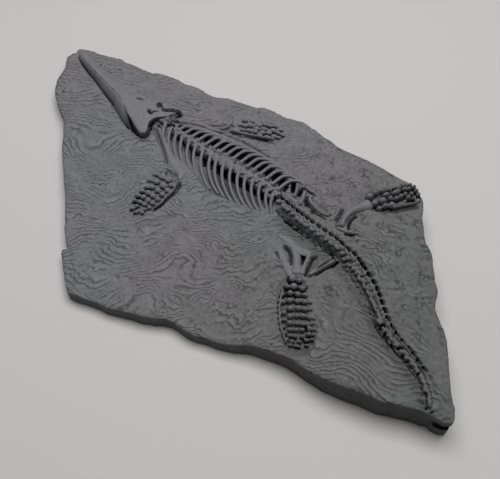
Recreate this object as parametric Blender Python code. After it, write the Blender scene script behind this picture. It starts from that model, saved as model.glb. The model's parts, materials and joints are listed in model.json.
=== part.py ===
"""Ichthyosaur fossil: a small marine reptile's skeleton in relief on an irregular slab of stone.

Run with: blender --background --python part.py

Every length and point below is in millimetres, and MM turns it into metres when a piece is
made. The slab lies on its flat underside at Z = 0. +X runs from the snout to the tail, +Y
across the slab and +Z up. The bones lie on the stone with a thin gap under them.
"""
import math

import bmesh
import bpy
from mathutils import Vector

MM = 0.001
COLLECTION = "ichthyosaur_fossil"

# The slab of stone
SLAB_THIN = 5.2                # thickness beside the snout and the lower fore paddle
SLAB_THICK = 11.4              # thickness beside the tail
THICKENS_TOWARDS = math.radians(50.4)
THICKENS_FROM = -9.8           # distance from the origin, measured that way
THICKENS_OVER = 60.0
SLAB_CELLS = (30, 38)          # along the snout's side, and from there to the tail
CORNER_REACH = 0.4             # how near to a corner of an outline, in cells, a grid line takes it
SWELL_HEIGHT = 0.25            # the stone's slight waves
SWELL_TURNS = (0.09, 0.11)     # radians for each millimetre along X and Y
LEDGE_FROM, LEDGE_TO = -24, -6
LEDGE_DROP = 0.9               # a strip broken lower along the near corner
LEDGE_WIDTH = 3.0
LEDGE_SLOPE = 1.5
TIP_FROM, TIP_RUN = 93.5, 6.0  # the broken slope of the tail corner
TIP_EDGE, TIP_SIDE_RUN = 4.0, 5.0
TIP_DROP = 3.6

# The bed hollowed out under the rib cage
BED_DEPTH = 1.3
BED_FROM, BED_TO = -46.0, 18.0
BED_FADE = 13.0                # length over which it runs out at both ends
BED_FLAT, BED_SIDE = 4.2, 6.3  # half width of its floor, and of the slope on each side

# The bones
GAP = 0.45                     # air under and between the bones
SPINE_ROWS = 8                 # cells across the backbone
SPINE_LOBES = 3                # a crest with a row of processes on each side
JOINT_WIDTH = 0.84             # the backbone at a joint, over its width at a vertebra
JOINT_HEIGHT = 0.72
UPPER_RIB_COUNT, LOWER_RIB_COUNT = 16, 17
UPPER_RIB_START, LOWER_RIB_START = -38.2, -43.2
UPPER_RIB_PITCH, LOWER_RIB_PITCH = 3.03, 3.28
RIB_RADIUS = 0.55
RIB_TIP_RADIUS = 0.28
RIB_RISE = 0.9                 # a rib starts this far above the stone beside the backbone
UPPER_RIB_TAIL = (5.6, 2.2)    # length of the part bent back, on the first and the last rib
UPPER_RIB_TURN = (0.66, 0.29)  # radians from the shoulder line, in the bend and after it
LOWER_RIB_REACH = (14.0, 7.0)  # along and down from the backbone, on the first and the last rib
LOWER_RIB_DROP = (6.6, 4.2)
LOWER_RIB_LONG = 8             # lower ribs before they start to shorten
SKULL_HEIGHT = 4.3
JAW_RADIUS = 1.25
PADDLE_HEIGHT = 1.5
BONE_FLATTEN = 0.8             # limb bones are a little flatter than round

# Borders of the slab, each from the snout towards the tail
NORTH_BORDER = ((-100, 6), (-98.5, 8.5), (-91, 12.5), (-84.5, 16.3), (-77, 19.3), (-70.5, 22.2),
                (-69, 24), (-61, 27.2), (-57, 27.8), (-50, 31), (-45, 32.2), (-40, 35.8),
                (-31, 38.8), (-24.5, 42.2), (-18, 43.4), (-10.5, 46.7), (-2, 47.6), (6, 47.9),
                (13, 49.7), (23, 52.8), (32, 54.6), (37.5, 56))
EAST_BORDER = ((37.5, 56), (41, 54.3), (46, 49.5), (50, 45.5), (55, 41), (60.5, 38), (66, 33.2),
               (71, 28), (74.5, 24.8), (82, 20.5), (89, 13.3), (94, 8.8), (97.3, 6.8),
               (99.4, 2.8), (100, 0.5))
WEST_BORDER = ((-100, 6), (-99.6, 3.5), (-99.3, 0), (-95, -3.5), (-92, -8), (-87, -12.8),
               (-80, -16), (-73, -17.8), (-67.5, -21), (-60, -26.3), (-52.5, -30.1),
               (-45, -34.3), (-38.5, -37.8), (-30.5, -42.7), (-21.8, -47.5), (-22.4, -49.2),
               (-16, -52.6), (-10, -55.3), (-7.5, -56))
SOUTH_BORDER = ((-7.5, -56), (-3, -53.8), (2, -50.8), (8, -47.6), (12, -44.8), (18.5, -40),
                (22, -36.8), (28, -35.3), (32.5, -32.5), (39, -28.8), (43, -25.2),
                (49.5, -20.8), (57, -17.3), (67, -14.8), (75, -11), (83, -7.7), (87.5, -4.6),
                (91, -1.8), (95, -0.8), (98.5, -0.6), (100, 0.5))

# The backbone: its middle line, how far it reaches to each side, and its height
SPINE_LINE = ((-45, 10), (-40, 10.3), (-35, 11), (-30, 11.8), (-25, 12.7), (-20, 14), (-15, 15),
              (-10, 16.3), (-5, 17), (0, 17.8), (5, 18.3), (10, 18.2), (15, 17.4), (20, 17.2),
              (25, 17.4), (30, 17.6), (35, 17.9), (40, 18.2), (45, 18), (50, 17), (55, 15.8),
              (60, 13.3), (65, 10.6), (70, 8.9), (75, 8.5), (80, 7.9), (83, 7.5), (86, 6.6),
              (88, 5.3), (90, 3.7), (92, 1.8), (93.5, 0.6))
SPINE_UPPER_WIDTH = ((-45, 1.2), (-40, 1.5), (-35, 1.9), (-30, 2.3), (-20, 2.6), (12, 2.7),
                     (20, 3.0), (50, 3.0), (60, 2.6), (75, 1.9), (82, 1.5), (88, 1.2),
                     (92, 0.9), (94, 0.7))
SPINE_LOWER_WIDTH = ((-45, 1.0), (-40, 1.3), (-35, 1.8), (-20, 2.0), (8, 2.2), (14, 3.2),
                     (20, 3.6), (42, 3.6), (50, 3.0), (60, 2.5), (75, 1.9), (82, 1.5),
                     (88, 1.2), (92, 0.9), (94, 0.7))
SPINE_HEIGHT = ((-45, 1.8), (-38, 2.6), (-28, 3.0), (55, 3.0), (66, 2.5), (80, 1.9), (94, 1.1))
VERTEBRA_PITCH = ((-45, 2.9), (0, 3.0), (50, 2.9), (65, 2.6), (80, 2.3), (94, 1.7))

# Where the upper ribs bend back, and where the lower ribs end
SHOULDER_LINE = ((-40, 14.6), (-36, 16.5), (-30, 19), (-25, 21), (-20, 22.8), (-15, 24),
                 (-10, 25), (-5, 25.5), (0, 26), (5, 26.3), (10, 26.6))


def smooth(t):
    """Smooth step from 0 to 1."""
    t = max(0.0, min(1.0, t))
    return t * t * (3 - 2 * t)


def value_at(stations, x):
    """A value listed at a few stations, read between them."""
    if x <= stations[0][0]:
        return stations[0][1]
    for (x0, v0), (x1, v1) in zip(stations, stations[1:]):
        if x <= x1:
            return v0 + (v1 - v0) * (x - x0) / (x1 - x0)
    return stations[-1][1]


def point_on(points, t, cells):
    """The point at the fraction t of a line's length, or a corner of the line close to it."""
    steps = [math.dist(a, b) for a, b in zip(points, points[1:])]
    reach = CORNER_REACH * sum(steps) / cells
    left = t * sum(steps)
    for (a, b), step in zip(zip(points, points[1:]), steps):
        if left < reach:
            return a
        if left <= step - reach:
            k = left / step
            return (a[0] + (b[0] - a[0]) * k, a[1] + (b[1] - a[1]) * k)
        if left <= step:
            return b
        left -= step
    return points[-1]


def rib_bed(x, y):
    """Depth of the hollow under the rib cage."""
    along = smooth((x - BED_FROM) / BED_FADE) * smooth((BED_TO - x) / BED_FADE)
    off = abs(y - value_at(SPINE_LINE, x))
    return BED_DEPTH * along * (1 - smooth((off - BED_FLAT) / BED_SIDE))


def near_corner_drop(x, y):
    """The lower ledge along the near corner and the slope of the tail corner."""
    ledge = 0.0
    if LEDGE_FROM < x < LEDGE_TO:
        edge = value_at(WEST_BORDER[-4:], x)
        ledge = LEDGE_DROP * (1 - smooth((y - edge - LEDGE_WIDTH) / LEDGE_SLOPE))
    tip = TIP_DROP * smooth((x - TIP_FROM) / TIP_RUN) * smooth((TIP_EDGE - y) / TIP_SIDE_RUN)
    return ledge + tip


def ground(x, y):
    """Height of the stone's upper side."""
    across = x * math.cos(THICKENS_TOWARDS) + y * math.sin(THICKENS_TOWARDS)
    ramp = SLAB_THIN + (SLAB_THICK - SLAB_THIN) * smooth((across - THICKENS_FROM) / THICKENS_OVER)
    swell = SWELL_HEIGHT * math.sin(SWELL_TURNS[0] * x) * math.sin(SWELL_TURNS[1] * y)
    return ramp + swell - rib_bed(x, y) - near_corner_drop(x, y)


def material(name, color, roughness):
    """A dull material of one colour."""
    finish = bpy.data.materials.new(name)
    finish.use_nodes = True
    shader = finish.node_tree.nodes["Principled BSDF"]
    shader.inputs["Base Color"].default_value = (*color, 1.0)
    shader.inputs["Roughness"].default_value = roughness
    shader.inputs["Metallic"].default_value = 0.0
    return finish


def place(name, mesh, finish, parts):
    """Makes the object of a finished mesh."""
    obj = bpy.data.objects.new(name, mesh)
    obj.data.materials.append(finish)
    parts.objects.link(obj)
    return obj


def stretched(near, far, start, end, cells):
    """A function that gives x, y inside four borders: u along near and far, v from near to far.

    near and far run from the start border to the end border.
    """
    start = start or (near[0], far[0])
    end = end or (near[-1], far[-1])

    def spread(u, v):
        low, high = point_on(near, u, cells[0]), point_on(far, u, cells[0])
        first, last = point_on(start, v, cells[1]), point_on(end, v, cells[1])
        xy = []
        for i in range(2):
            ruled = (1 - v) * low[i] + v * high[i] + (1 - u) * first[i] + u * last[i]
            corners = ((1 - u) * (1 - v) * near[0][i] + u * (1 - v) * near[-1][i]
                       + (1 - u) * v * far[0][i] + u * v * far[-1][i])
            xy.append(ruled - corners)
        return xy
    return spread


def relief(name, spread, cells, height, finish, parts, base=None):
    """A low piece: a grid spread over its outline, raised by height(u, v, x, y), with sides
    and an underside. Without a base height it follows the stone with a gap under it."""
    bm = bmesh.new()
    bmesh.ops.create_grid(bm, x_segments=cells[0], y_segments=cells[1], size=0.5)
    for vert in bm.verts:
        u, v = vert.co.x + 0.5, vert.co.y + 0.5
        x, y = spread(u, v)
        under = ground(x, y) + GAP if base is None else base
        vert.co = Vector((x, y, under + height(u, v, x, y))) * MM
    top = list(bm.faces)
    raised = bmesh.ops.extrude_face_region(bm, geom=top)["geom"]
    kept = {item for item in raised if isinstance(item, bmesh.types.BMVert)}
    bmesh.ops.delete(bm, geom=top, context="FACES")
    for vert in bm.verts:
        if vert not in kept:
            under = ground(vert.co.x / MM, vert.co.y / MM) + GAP if base is None else base
            vert.co.z = under * MM
    rim = [edge for edge in bm.edges if edge.is_boundary]
    if base is None:
        bmesh.ops.triangle_fill(bm, edges=rim, use_beauty=True)
    else:
        bmesh.ops.contextual_create(bm, geom=rim)
    bmesh.ops.recalc_face_normals(bm, faces=bm.faces)
    mesh = bpy.data.meshes.new(name)
    bm.to_mesh(mesh)
    bm.free()
    return place(name, mesh, finish, parts)


def strut(name, points, radii, finish, parts, sides=6, flatten=1.0):
    """A rib or a limb bone: a curve through the points, lying on the stone, with its own
    thickness at each point. A third number in a point raises it."""
    curve = bpy.data.curves.new(name, "CURVE")
    curve.dimensions = "3D"
    curve.bevel_depth = MM
    curve.bevel_resolution = (sides - 4) // 2
    curve.use_fill_caps = True
    line = curve.splines.new("POLY")
    line.points.add(len(points) - 1)
    for target, spot, radius in zip(line.points, points, radii):
        rise = spot[2] if len(spot) > 2 else 0.0
        z = ground(spot[0], spot[1]) + GAP + rise + radius * flatten
        target.co = (spot[0] * MM, spot[1] * MM, z * MM / flatten, 1.0)
        target.radius = radius
    obj = place(name, curve, finish, parts)
    obj.scale.z = flatten
    return obj


def build_slab(finish, parts):
    """The slab: four ragged borders, an uneven upper side and a flat underside."""
    spread = stretched(WEST_BORDER, EAST_BORDER, NORTH_BORDER, SOUTH_BORDER, SLAB_CELLS)
    relief("slab", spread, SLAB_CELLS, lambda u, v, x, y: ground(x, y), finish, parts, base=0.0)


def vertebra_stations():
    """X of each joint between two vertebrae, closer together towards the tail."""
    stations, x = [], SPINE_LINE[0][0]
    while x < SPINE_LINE[-1][0]:
        stations.append(x)
        slope = value_at(SPINE_LINE, x + 0.5) - value_at(SPINE_LINE, x - 0.5)
        x += value_at(VERTEBRA_PITCH, x) / math.hypot(1, slope)
    return stations + [SPINE_LINE[-1][0]]


def build_spine(finish, parts):
    """The backbone: a low ridge of vertebrae, each with a crest and a process on either side,
    drawn in and lower at the joints between them."""
    joints = vertebra_stations()
    cells = (2 * (len(joints) - 1), SPINE_ROWS)

    def station(u):
        """X, and 1 in the middle of a vertebra or 0 at a joint."""
        step = round(u * cells[0])
        if step % 2 == 0:
            return joints[step // 2], 0.0
        return 0.5 * (joints[step // 2] + joints[step // 2 + 1]), 1.0

    def spread(u, v):
        x, middle = station(u)
        y = value_at(SPINE_LINE, x)
        slope = math.atan2(value_at(SPINE_LINE, x + 1) - value_at(SPINE_LINE, x - 1), 2)
        wide = value_at(SPINE_UPPER_WIDTH, x), value_at(SPINE_LOWER_WIDTH, x)
        off = (wide[0] + wide[1]) * v - wide[1]
        off *= JOINT_WIDTH + (1 - JOINT_WIDTH) * middle
        return x - off * math.sin(slope), y + off * math.cos(slope)

    def height(u, v, x, y):
        crest_x, middle = station(u)
        rows = 0.72 + 0.28 * math.cos(2 * math.pi * SPINE_LOBES * (v - 0.5))
        edge = 0.42 + 0.58 * math.sin(math.pi * v) ** 0.5
        bump = JOINT_HEIGHT + (1 - JOINT_HEIGHT) * middle
        return (value_at(SPINE_HEIGHT, crest_x) * rows * bump + rib_bed(x, y)) * edge

    relief("backbone", spread, cells, height, finish, parts)


def upper_rib(index):
    """Points of an upper rib: out from the backbone, then bent back towards the tail."""
    x = UPPER_RIB_START + UPPER_RIB_PITCH * index
    foot = value_at(SPINE_LINE, x) + value_at(SPINE_UPPER_WIDTH, x) + GAP + RIB_RADIUS
    shoulder = value_at(SHOULDER_LINE, x)
    slope = math.atan2(value_at(SHOULDER_LINE, x + 2) - shoulder, 2)
    first, last = UPPER_RIB_TAIL
    tail = first + (last - first) * index / (UPPER_RIB_COUNT - 1)
    points = [(x, foot), (x + 0.1, (foot + shoulder) / 2), (x + 0.25, shoulder - 1.2),
              (x + 0.9, shoulder + 0.2)]
    for turn, length in zip(UPPER_RIB_TURN, (1.6, tail)):
        points.append((points[-1][0] + length * math.cos(slope + turn),
                       points[-1][1] + length * math.sin(slope + turn)))
    deep = rib_bed(x, foot)
    rises = (deep + RIB_RISE, 0.6 * deep + 1.3, 1.2, 0.9, 0.6, 0.0)
    return [(*point, rise) for point, rise in zip(points, rises)]


def lower_rib(index):
    """Points of a lower rib: swept back towards the tail and down onto the stone."""
    x = LOWER_RIB_START + LOWER_RIB_PITCH * index
    short = smooth((index - LOWER_RIB_LONG) / (LOWER_RIB_COUNT - 1 - LOWER_RIB_LONG))
    reach = LOWER_RIB_REACH[0] + (LOWER_RIB_REACH[1] - LOWER_RIB_REACH[0]) * short
    drop = LOWER_RIB_DROP[0] + (LOWER_RIB_DROP[1] - LOWER_RIB_DROP[0]) * short
    foot = value_at(SPINE_LINE, x) - value_at(SPINE_LOWER_WIDTH, x) - GAP - RIB_RADIUS
    deep = rib_bed(x, foot)
    shape = ((0.0, 0.0, deep + RIB_RISE), (0.12, 0.19, 0.8 * deep + 1.2),
             (0.3, 0.45, 0.5 * deep + 1.1), (0.5, 0.67, 0.8), (0.75, 0.87, 0.4), (1.0, 1.0, 0.0))
    return [(x + reach * along, foot - drop * down, rise) for along, down, rise in shape]


def build_ribs(finish, parts):
    """The ribs of both sides."""
    radii = [RIB_RADIUS + (RIB_TIP_RADIUS - RIB_RADIUS) * k / 5 for k in range(6)]
    for index in range(UPPER_RIB_COUNT):
        strut(f"upper_rib_{index + 1:02d}", upper_rib(index), radii, finish, parts)
    for index in range(LOWER_RIB_COUNT):
        strut(f"lower_rib_{index + 1:02d}", lower_rib(index), radii, finish, parts)


def build_head(finish, parts):
    """The skull with its long snout, and the lower jaw under its near side."""
    near = ((-97.5, 5.9), (-90, 4.7), (-80, 4.4), (-70, 3.9), (-62, 2.9), (-56, 1.5), (-50, 0.2),
            (-46.6, -0.9))
    far = ((-97.5, 7.2), (-90, 8.0), (-78, 8.6), (-70, 9.6), (-63, 11.8), (-56, 15.5), (-50, 18.3),
           (-46, 19.3))
    rear = ((-46.6, -0.9), (-45.6, -0.2), (-46.2, 2.4), (-48.2, 6), (-48.6, 9.5), (-47.2, 12.5),
            (-46.5, 16), (-46, 19.3))

    def height(u, v, x, y):
        length_part = 0.42 + 0.58 * smooth((u - 0.25) / 0.6)
        ridge = 0.62 + 0.38 * smooth(v / 0.15) - 0.72 * smooth((v - 0.2) / 0.8)
        return SKULL_HEIGHT * length_part * max(0.24, ridge)

    cells = (14, 8)
    relief("skull", stretched(near, far, None, rear, cells), cells, height, finish, parts)
    jaw = ((-97.6, 4.6), (-90, 3.2), (-80, 2.6), (-70, 1.8), (-62, 0.7), (-57.5, -0.4),
           (-54.5, -1.5))
    radii = [JAW_RADIUS * k for k in (0.36, 0.6, 0.75, 0.85, 0.95, 1.0, 0.7)]
    strut("lower_jaw", jaw, radii, finish, parts, sides=8)


def build_paddle(name, near, far, tip, rows, columns, finish, parts):
    """A paddle: rows of small flat bones that touch, worked as one low plate. tip is the point
    that its end reaches."""
    def height(u, v, x, y):
        row = math.sin(math.pi * (u * rows % 1.0)) ** 0.7
        column = math.sin(math.pi * (v * columns % 1.0)) ** 0.7
        return PADDLE_HEIGHT * (0.5 + 0.5 * row * column)
    cells = (2 * rows, 2 * columns)
    spread = stretched(near, far, None, (near[-1], tip, far[-1]), cells)
    relief(name, spread, cells, height, finish, parts)


def build_paddles(finish, parts):
    """Two fore paddles and two hind paddles."""
    build_paddle("lower_fore_paddle",
                 ((-27.6, -4), (-27.6, -8), (-26.2, -14.5), (-24.8, -18.5), (-23, -20.8)),
                 ((-17.8, -4), (-16.6, -8), (-15, -13.8), (-15.6, -18.2), (-17, -20.8)),
                 (-19.8, -22.6), 8, 4, finish, parts)
    build_paddle("upper_fore_paddle",
                 ((-23.8, 27.2), (-19, 28.6), (-15, 31), (-11, 33.3), (-9.6, 34.6)),
                 ((-27, 32), (-23, 35.4), (-19, 37.5), (-15, 39), (-11.8, 38.8)),
                 (-9.6, 37), 6, 3, finish, parts)
    build_paddle("lower_hind_paddle",
                 ((35.8, -1.5), (38.5, -6), (42.5, -9.5), (46.5, -12.3), (50.2, -14)),
                 ((42.5, 1.2), (47.5, -1.6), (52, -4.5), (55, -8), (56.2, -10.8)),
                 (54.4, -14), 9, 4, finish, parts)
    build_paddle("upper_hind_paddle",
                 ((36.5, 39.6), (39, 42), (41, 46.5), (42.2, 50), (41.4, 52.6)),
                 ((29.6, 40.6), (30, 43.5), (31.5, 47), (33, 50.8), (34.4, 53.6)),
                 (38, 55.2), 8, 4, finish, parts)


def build_limb_bones(finish, parts):
    """The shoulder, upper limb and hip bones beside the backbone."""
    def bone(name, points, radii, sides=6):
        strut(name, points, radii, finish, parts, sides=sides, flatten=BONE_FLATTEN)

    bone("lower_shoulder_blade", ((-43.4, 5.0), (-40.3, 3.6), (-37.2, 1.8), (-34.2, 0.3),
                                  (-31.8, -0.6)), (0.7, 0.85, 0.95, 1.0, 1.1))
    bone("lower_humerus", ((-29.4, -1.1), (-26.5, -1.1), (-23.4, -1.0), (-20.4, -1.0)),
         (1.3, 1.5, 1.5, 1.3), 8)
    bone("upper_shoulder_strap", ((-42, 17.4), (-38.5, 19.6), (-35, 22.3), (-31.5, 24.8)),
         (0.5, 0.6, 0.7, 0.6))
    bone("upper_humerus", ((-30.6, 28.3), (-28.8, 29.4), (-27, 30.2)), (1.0, 1.4, 1.0), 8)
    bone("lower_hip_bar", ((21.9, 8.2), (25, 8.6), (27.4, 9.2)), (0.6, 0.9, 0.7))
    bone("lower_hip_plate", ((23.6, 5.8), (27.4, 3.8), (31.8, 2.4), (34.6, 1.8)),
         (0.8, 1.2, 1.1, 0.7))
    bone("lower_femur", ((29.6, 7.9), (32.4, 6.4), (34.8, 4.8), (36.8, 3.4)),
         (0.9, 0.9, 0.8, 0.9))
    bone("lower_hip_branch", ((35.4, 9.9), (36.4, 8.2), (37.3, 6.2)), (0.6, 0.6, 0.4))
    bone("lower_hip_blade", ((40.2, 12.2), (40.1, 9.8), (39.9, 7), (39.8, 4.6)),
         (1.0, 0.9, 0.7, 0.5))
    bone("upper_hip_bar", ((29.2, 25.4), (28.4, 27.6), (28, 30)), (0.6, 0.7, 0.6))
    bone("upper_femur", ((31.6, 26), (31.2, 30), (31.6, 34), (32.9, 37.7)), (0.8, 1.1, 1.2, 1.1))
    bone("upper_hip_spike", ((33.8, 24.4), (36.4, 25.2), (38.6, 25.9)), (0.8, 0.7, 0.4))
    bone("belly_plate", ((14.5, 26.0), (18.0, 25.0), (22.5, 24.6), (26.5, 25.2)),
         (0.6, 1.1, 1.2, 0.7))


def main():
    for old in list(bpy.data.objects):
        bpy.data.objects.remove(old, do_unlink=True)
    parts = bpy.data.collections.new(COLLECTION)
    bpy.context.scene.collection.children.link(parts)
    stone = material("slab_stone", (0.155, 0.160, 0.165), 0.9)
    fossil = material("fossil_bone", (0.165, 0.170, 0.175), 0.85)
    build_slab(stone, parts)
    build_spine(fossil, parts)
    build_ribs(fossil, parts)
    build_head(fossil, parts)
    build_paddles(fossil, parts)
    build_limb_bones(fossil, parts)


main()
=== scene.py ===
"""The finished surfaces of an ichthyosaur fossil: bones in relief on a slab of layered shale.

Points and lengths in the lists below are millimetres in the frame of the part: +X runs from the
snout to the tail, +Y across the slab, and the slab's flat underside is at Z = 0.
"""

import json
import math

import bmesh
import bpy
import numpy as np
from mathutils import Matrix, Vector

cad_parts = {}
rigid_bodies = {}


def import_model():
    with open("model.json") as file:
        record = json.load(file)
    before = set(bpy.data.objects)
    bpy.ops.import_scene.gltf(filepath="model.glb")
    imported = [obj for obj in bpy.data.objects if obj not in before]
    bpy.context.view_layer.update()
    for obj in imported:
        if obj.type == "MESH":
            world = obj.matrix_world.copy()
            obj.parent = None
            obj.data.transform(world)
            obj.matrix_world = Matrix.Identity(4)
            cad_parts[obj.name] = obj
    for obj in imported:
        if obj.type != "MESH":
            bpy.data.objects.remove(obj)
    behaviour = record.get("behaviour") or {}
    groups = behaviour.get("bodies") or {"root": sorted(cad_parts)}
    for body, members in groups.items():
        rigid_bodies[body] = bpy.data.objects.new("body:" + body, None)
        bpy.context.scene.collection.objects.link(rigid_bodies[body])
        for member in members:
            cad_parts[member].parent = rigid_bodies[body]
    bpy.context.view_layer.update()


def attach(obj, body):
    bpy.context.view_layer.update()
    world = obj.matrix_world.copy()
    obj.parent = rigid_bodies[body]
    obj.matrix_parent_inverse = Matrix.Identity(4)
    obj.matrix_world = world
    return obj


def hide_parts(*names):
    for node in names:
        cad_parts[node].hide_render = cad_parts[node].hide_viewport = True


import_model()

bl_info = {
    "name": "Ichthyosaur Fossil Slab",
    "version": (1, 0, 0),
    "blender": (4, 5, 0),
    "location": "View3D > Sidebar > Fossil",
    "description": "Models the bones and the layered stone of an ichthyosaur fossil",
    "category": "Add Mesh",
}

MM = 0.001
BODY = "root"

# The camera and the large light: places and distances in millimetres
CAMERA_PLACE = (111.5, -79.0, 199.0)
CAMERA_TARGET = (12.43, 2.95, 1.0)
SENSOR_WIDTH = 36.0
LIGHT_FROM = (-0.125, 0.172, 0.977)
LIGHT_DISTANCE = 600.0
LIGHT_LONG, LIGHT_WIDE = 600.0, 400.0
FLOOR_HALF = 2500.0

# The slab: its thickness, which way it grows thicker, and its low waves
SLAB_THIN, SLAB_THICK = 5.2, 11.4
THICKENS_TOWARDS = math.radians(50.4)
THICKENS_FROM, THICKENS_OVER = -9.8, 60.0
WAVE_HEIGHT = 0.25
WAVE_TURNS = (0.09, 0.11)
# How far the rim of the upper side is worn down, and over how many cells
RIM_WORN, RIM_CELLS = 0.4, 3.0

# The bed hollowed out under the ribs: where it is, its flat part, and its far side
BED_FROM, BED_TO = -42.5, 11.5
BED_FADE = 6.0
BED_FLAT, BED_WALL = 3.2, 1.0
BED_BEHIND = 0.1

# Depths: holes between the upper ribs, the row they stand in, skull gaps, and small dents
HOLE_DEPTH, HOLE_ROW_DEPTH = 3.9, 2.8
SKULL_GAP_DEPTH = 3.0
DENT_DEPTH = 0.26

# The ledge along the near edge: where it is, its drop, its width and its slope
LEDGE_FROM, LEDGE_TO = -24.0, -6.0
LEDGE_DROP, LEDGE_WIDTH, LEDGE_SLOPE = 0.6, 2.5, 2.2

# The low tip of the slab under the tail, and the crack in its broken edge
TIP_FROM, TIP_RUN = 93.5, 6.0
TIP_EDGE, TIP_SIDE_RUN = 5.0, 5.0
TIP_DROP = 0.7
CRACK_FROM, CRACK_RUN = 92.5, 3.0
CRACK_EDGE = 6.0
CRACK_DEPTH = 1.5
CRACK_IN, CRACK_OUT = 3, 4
# Painted shade on the broken edge, and deeper painted shade in the crack
WALL_PAINTED_SHADE, CRACK_PAINTED_SHADE = 0.18, 0.8

# The step beside the tail: the stone is higher behind the tail and lower in front of it
TAIL_RAISED, TAIL_SUNK = 0.8, 1.3
TAIL_STEP_WIDTH = ((8, 3.0), (44, 3.2), (54, 2.4), (62, 1.6), (94, 1.2))

# The way across the slab that the layers and the crack run, and the heading of the low hills
AWAY = (-0.77, 0.637, 0.0)
HILLS_HEADING = 140.0
# The layers: how thick they are, how much of that shows as a step, and how far apart they end
LAYER, STEP = 0.19, 1.25
LAYER_PITCH = 1.75
# How many waves make a swell, and what brings their sum near -1 to 1
SWELL_WAVES, SWELL_SUM = 14, 3.2
# Places with rings of layers around them: reach along and across, heading, height in layers
RINGS = (
    ((-50, -20), (13, 10), 50, 6), ((5, -21), (10, 7), 50, -4), ((28, -9), (6, 5), 70, 3),
    ((58, 30), (7, 9), 40, 2), ((-62, 18), (8, 5), 30, 2), ((12, -36), (8, 5), 80, -1.5))

# Borders of the slab, each from the snout towards the tail
NORTH_BORDER = (
    (-100.9, 6.3), (-99.1, 8.5), (-95.7, 10.6), (-93, 11.3), (-91, 12.5), (-89, 13.5), (-86.5, 15),
    (-84.5, 16.3), (-82, 16.8), (-80, 18), (-77, 19.3), (-74.5, 20.3), (-72, 21.5), (-70.5, 22.2),
    (-69, 24), (-66.5, 25), (-64, 26), (-61, 27.2), (-57, 27.8), (-55, 29), (-52.5, 30.5),
    (-50, 31), (-47.5, 31.2), (-45, 32.2), (-43, 33.4), (-41, 35), (-40, 35.8), (-37, 36.7),
    (-34, 37.8), (-31, 38.8), (-28.5, 39.6), (-26.5, 41.2), (-24.5, 42.2), (-21, 43), (-16, 44),
    (-14, 45.2), (-12, 45.9), (-10.5, 46.7), (-7.5, 47.1), (-5.5, 46.9), (-4, 47.4), (0, 47.2),
    (4, 48.1), (6, 47.9), (9, 48.5), (11, 49.3), (13, 49.7), (17, 51.3), (20, 52), (23, 52.8),
    (26, 53.5), (29, 53.8), (32, 54.6), (34.5, 55.2), (37.5, 56))
EAST_BORDER = (
    (37.5, 56), (41, 54.3), (43, 52.8), (45, 50.8), (47, 48), (50, 45.5), (53, 42.5), (55, 41),
    (57, 40.3), (59, 39.2), (60.5, 38), (62, 36.5), (64, 35), (66, 33.2), (68.5, 31.8), (70, 30),
    (71, 28), (72.5, 26), (74.5, 24.8), (77, 23.5), (79.5, 22.3), (82, 20.5), (84, 18.5),
    (86, 16.5), (89, 13.3), (92, 10.5), (94, 8.8), (96, 7.6), (97.3, 6.9), (98.1, 5.8),
    (99.1, 4.8), (99.6, 3.6))
WEST_BORDER = (
    (-100.9, 6.3), (-99.9, 4.6), (-100.1, 3.2), (-100, 0.6), (-97.6, -1.6), (-95.2, -3.4),
    (-93.5, -5.7), (-92, -8), (-90, -10.2), (-87, -12.8), (-84, -14.6), (-80, -16), (-76, -17),
    (-73, -17.8), (-70, -19.2), (-67.5, -21), (-65, -22.5), (-62.5, -24.5), (-60, -26.3),
    (-57.5, -27.5), (-55, -29), (-50, -31.5), (-45, -34.3), (-41, -36.3), (-36, -39.4), (-33, -41.2),
    (-30.5, -42.7), (-29, -44), (-26.5, -45.2), (-24, -46.4), (-21.8, -47.5), (-22.4, -49.2),
    (-21.5, -50), (-19, -51), (-16, -52.6), (-13, -53.9), (-10, -55.3), (-7.5, -56))
SOUTH_BORDER = (
    (-7.5, -56), (-5, -55), (-3, -53.8), (0, -52), (2, -50.8), (5, -49.8), (8, -47.6),
    (10, -46.3), (12, -44.8), (15, -43), (18.5, -40), (20, -38.3), (22, -36.8), (25, -36),
    (28, -35.3), (31, -34), (32.5, -32.5), (36, -30.8), (39, -28.8), (41.5, -26.9), (43, -25.2),
    (45, -23.3), (49.5, -20.8), (54, -18.3), (57, -17.3), (61, -16.5), (67, -14.8), (70, -13.5),
    (75, -11), (78, -9.2), (81, -7.9), (83, -7.0), (85, -5.2), (87.5, -3.4), (89.5, -1.9),
    (91.5, -0.6), (94, 0.5), (96.5, 1.3), (98.3, 2.2), (99.6, 3.6))
LEDGE_BORDER = [place for place in WEST_BORDER if place[0] > -21.6]

# The backbone: its crest, its reach to each side beside the ribs, its height, where its last
# vertebra with an upper rib ends, and where the hips are
SPINE_LINE = (
    (-45, 10), (-40, 10.3), (-35, 11), (-30, 11.8), (-25, 12.7), (-20, 14), (-15, 15),
    (-10, 16.3), (-5, 17), (0, 17.8), (5, 18.2), (9, 17.8), (12, 17.4), (20, 17.2), (28, 17.4),
    (32, 17.9), (36, 18.5), (40, 18.9), (44, 18.8), (48, 18.2), (52, 16.9), (56, 15.4),
    (60, 13.6), (62, 12.7), (64, 11.5), (66, 10.5), (68, 9.9), (70, 9.6), (74, 9.1), (78, 8.6),
    (82, 7.9), (84, 7.4), (86, 6.8), (88, 6.0), (90, 4.7), (92, 3.1), (93.5, 1.6))
SPINE_UPPER_WIDTH = ((-45, 1.1), (-40, 1.3), (-34, 1.9), (-28, 2.6), (-22, 3.4), (-16, 3.3),
                     (-10, 3.5), (0, 3.2), (6, 2.9), (10, 2.4))
SPINE_LOWER_WIDTH = ((-45, 1.2), (-40, 1.9), (-35, 2.4), (-20, 2.8), (-12, 3.3), (4, 3.2),
                     (10, 2.2))
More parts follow.
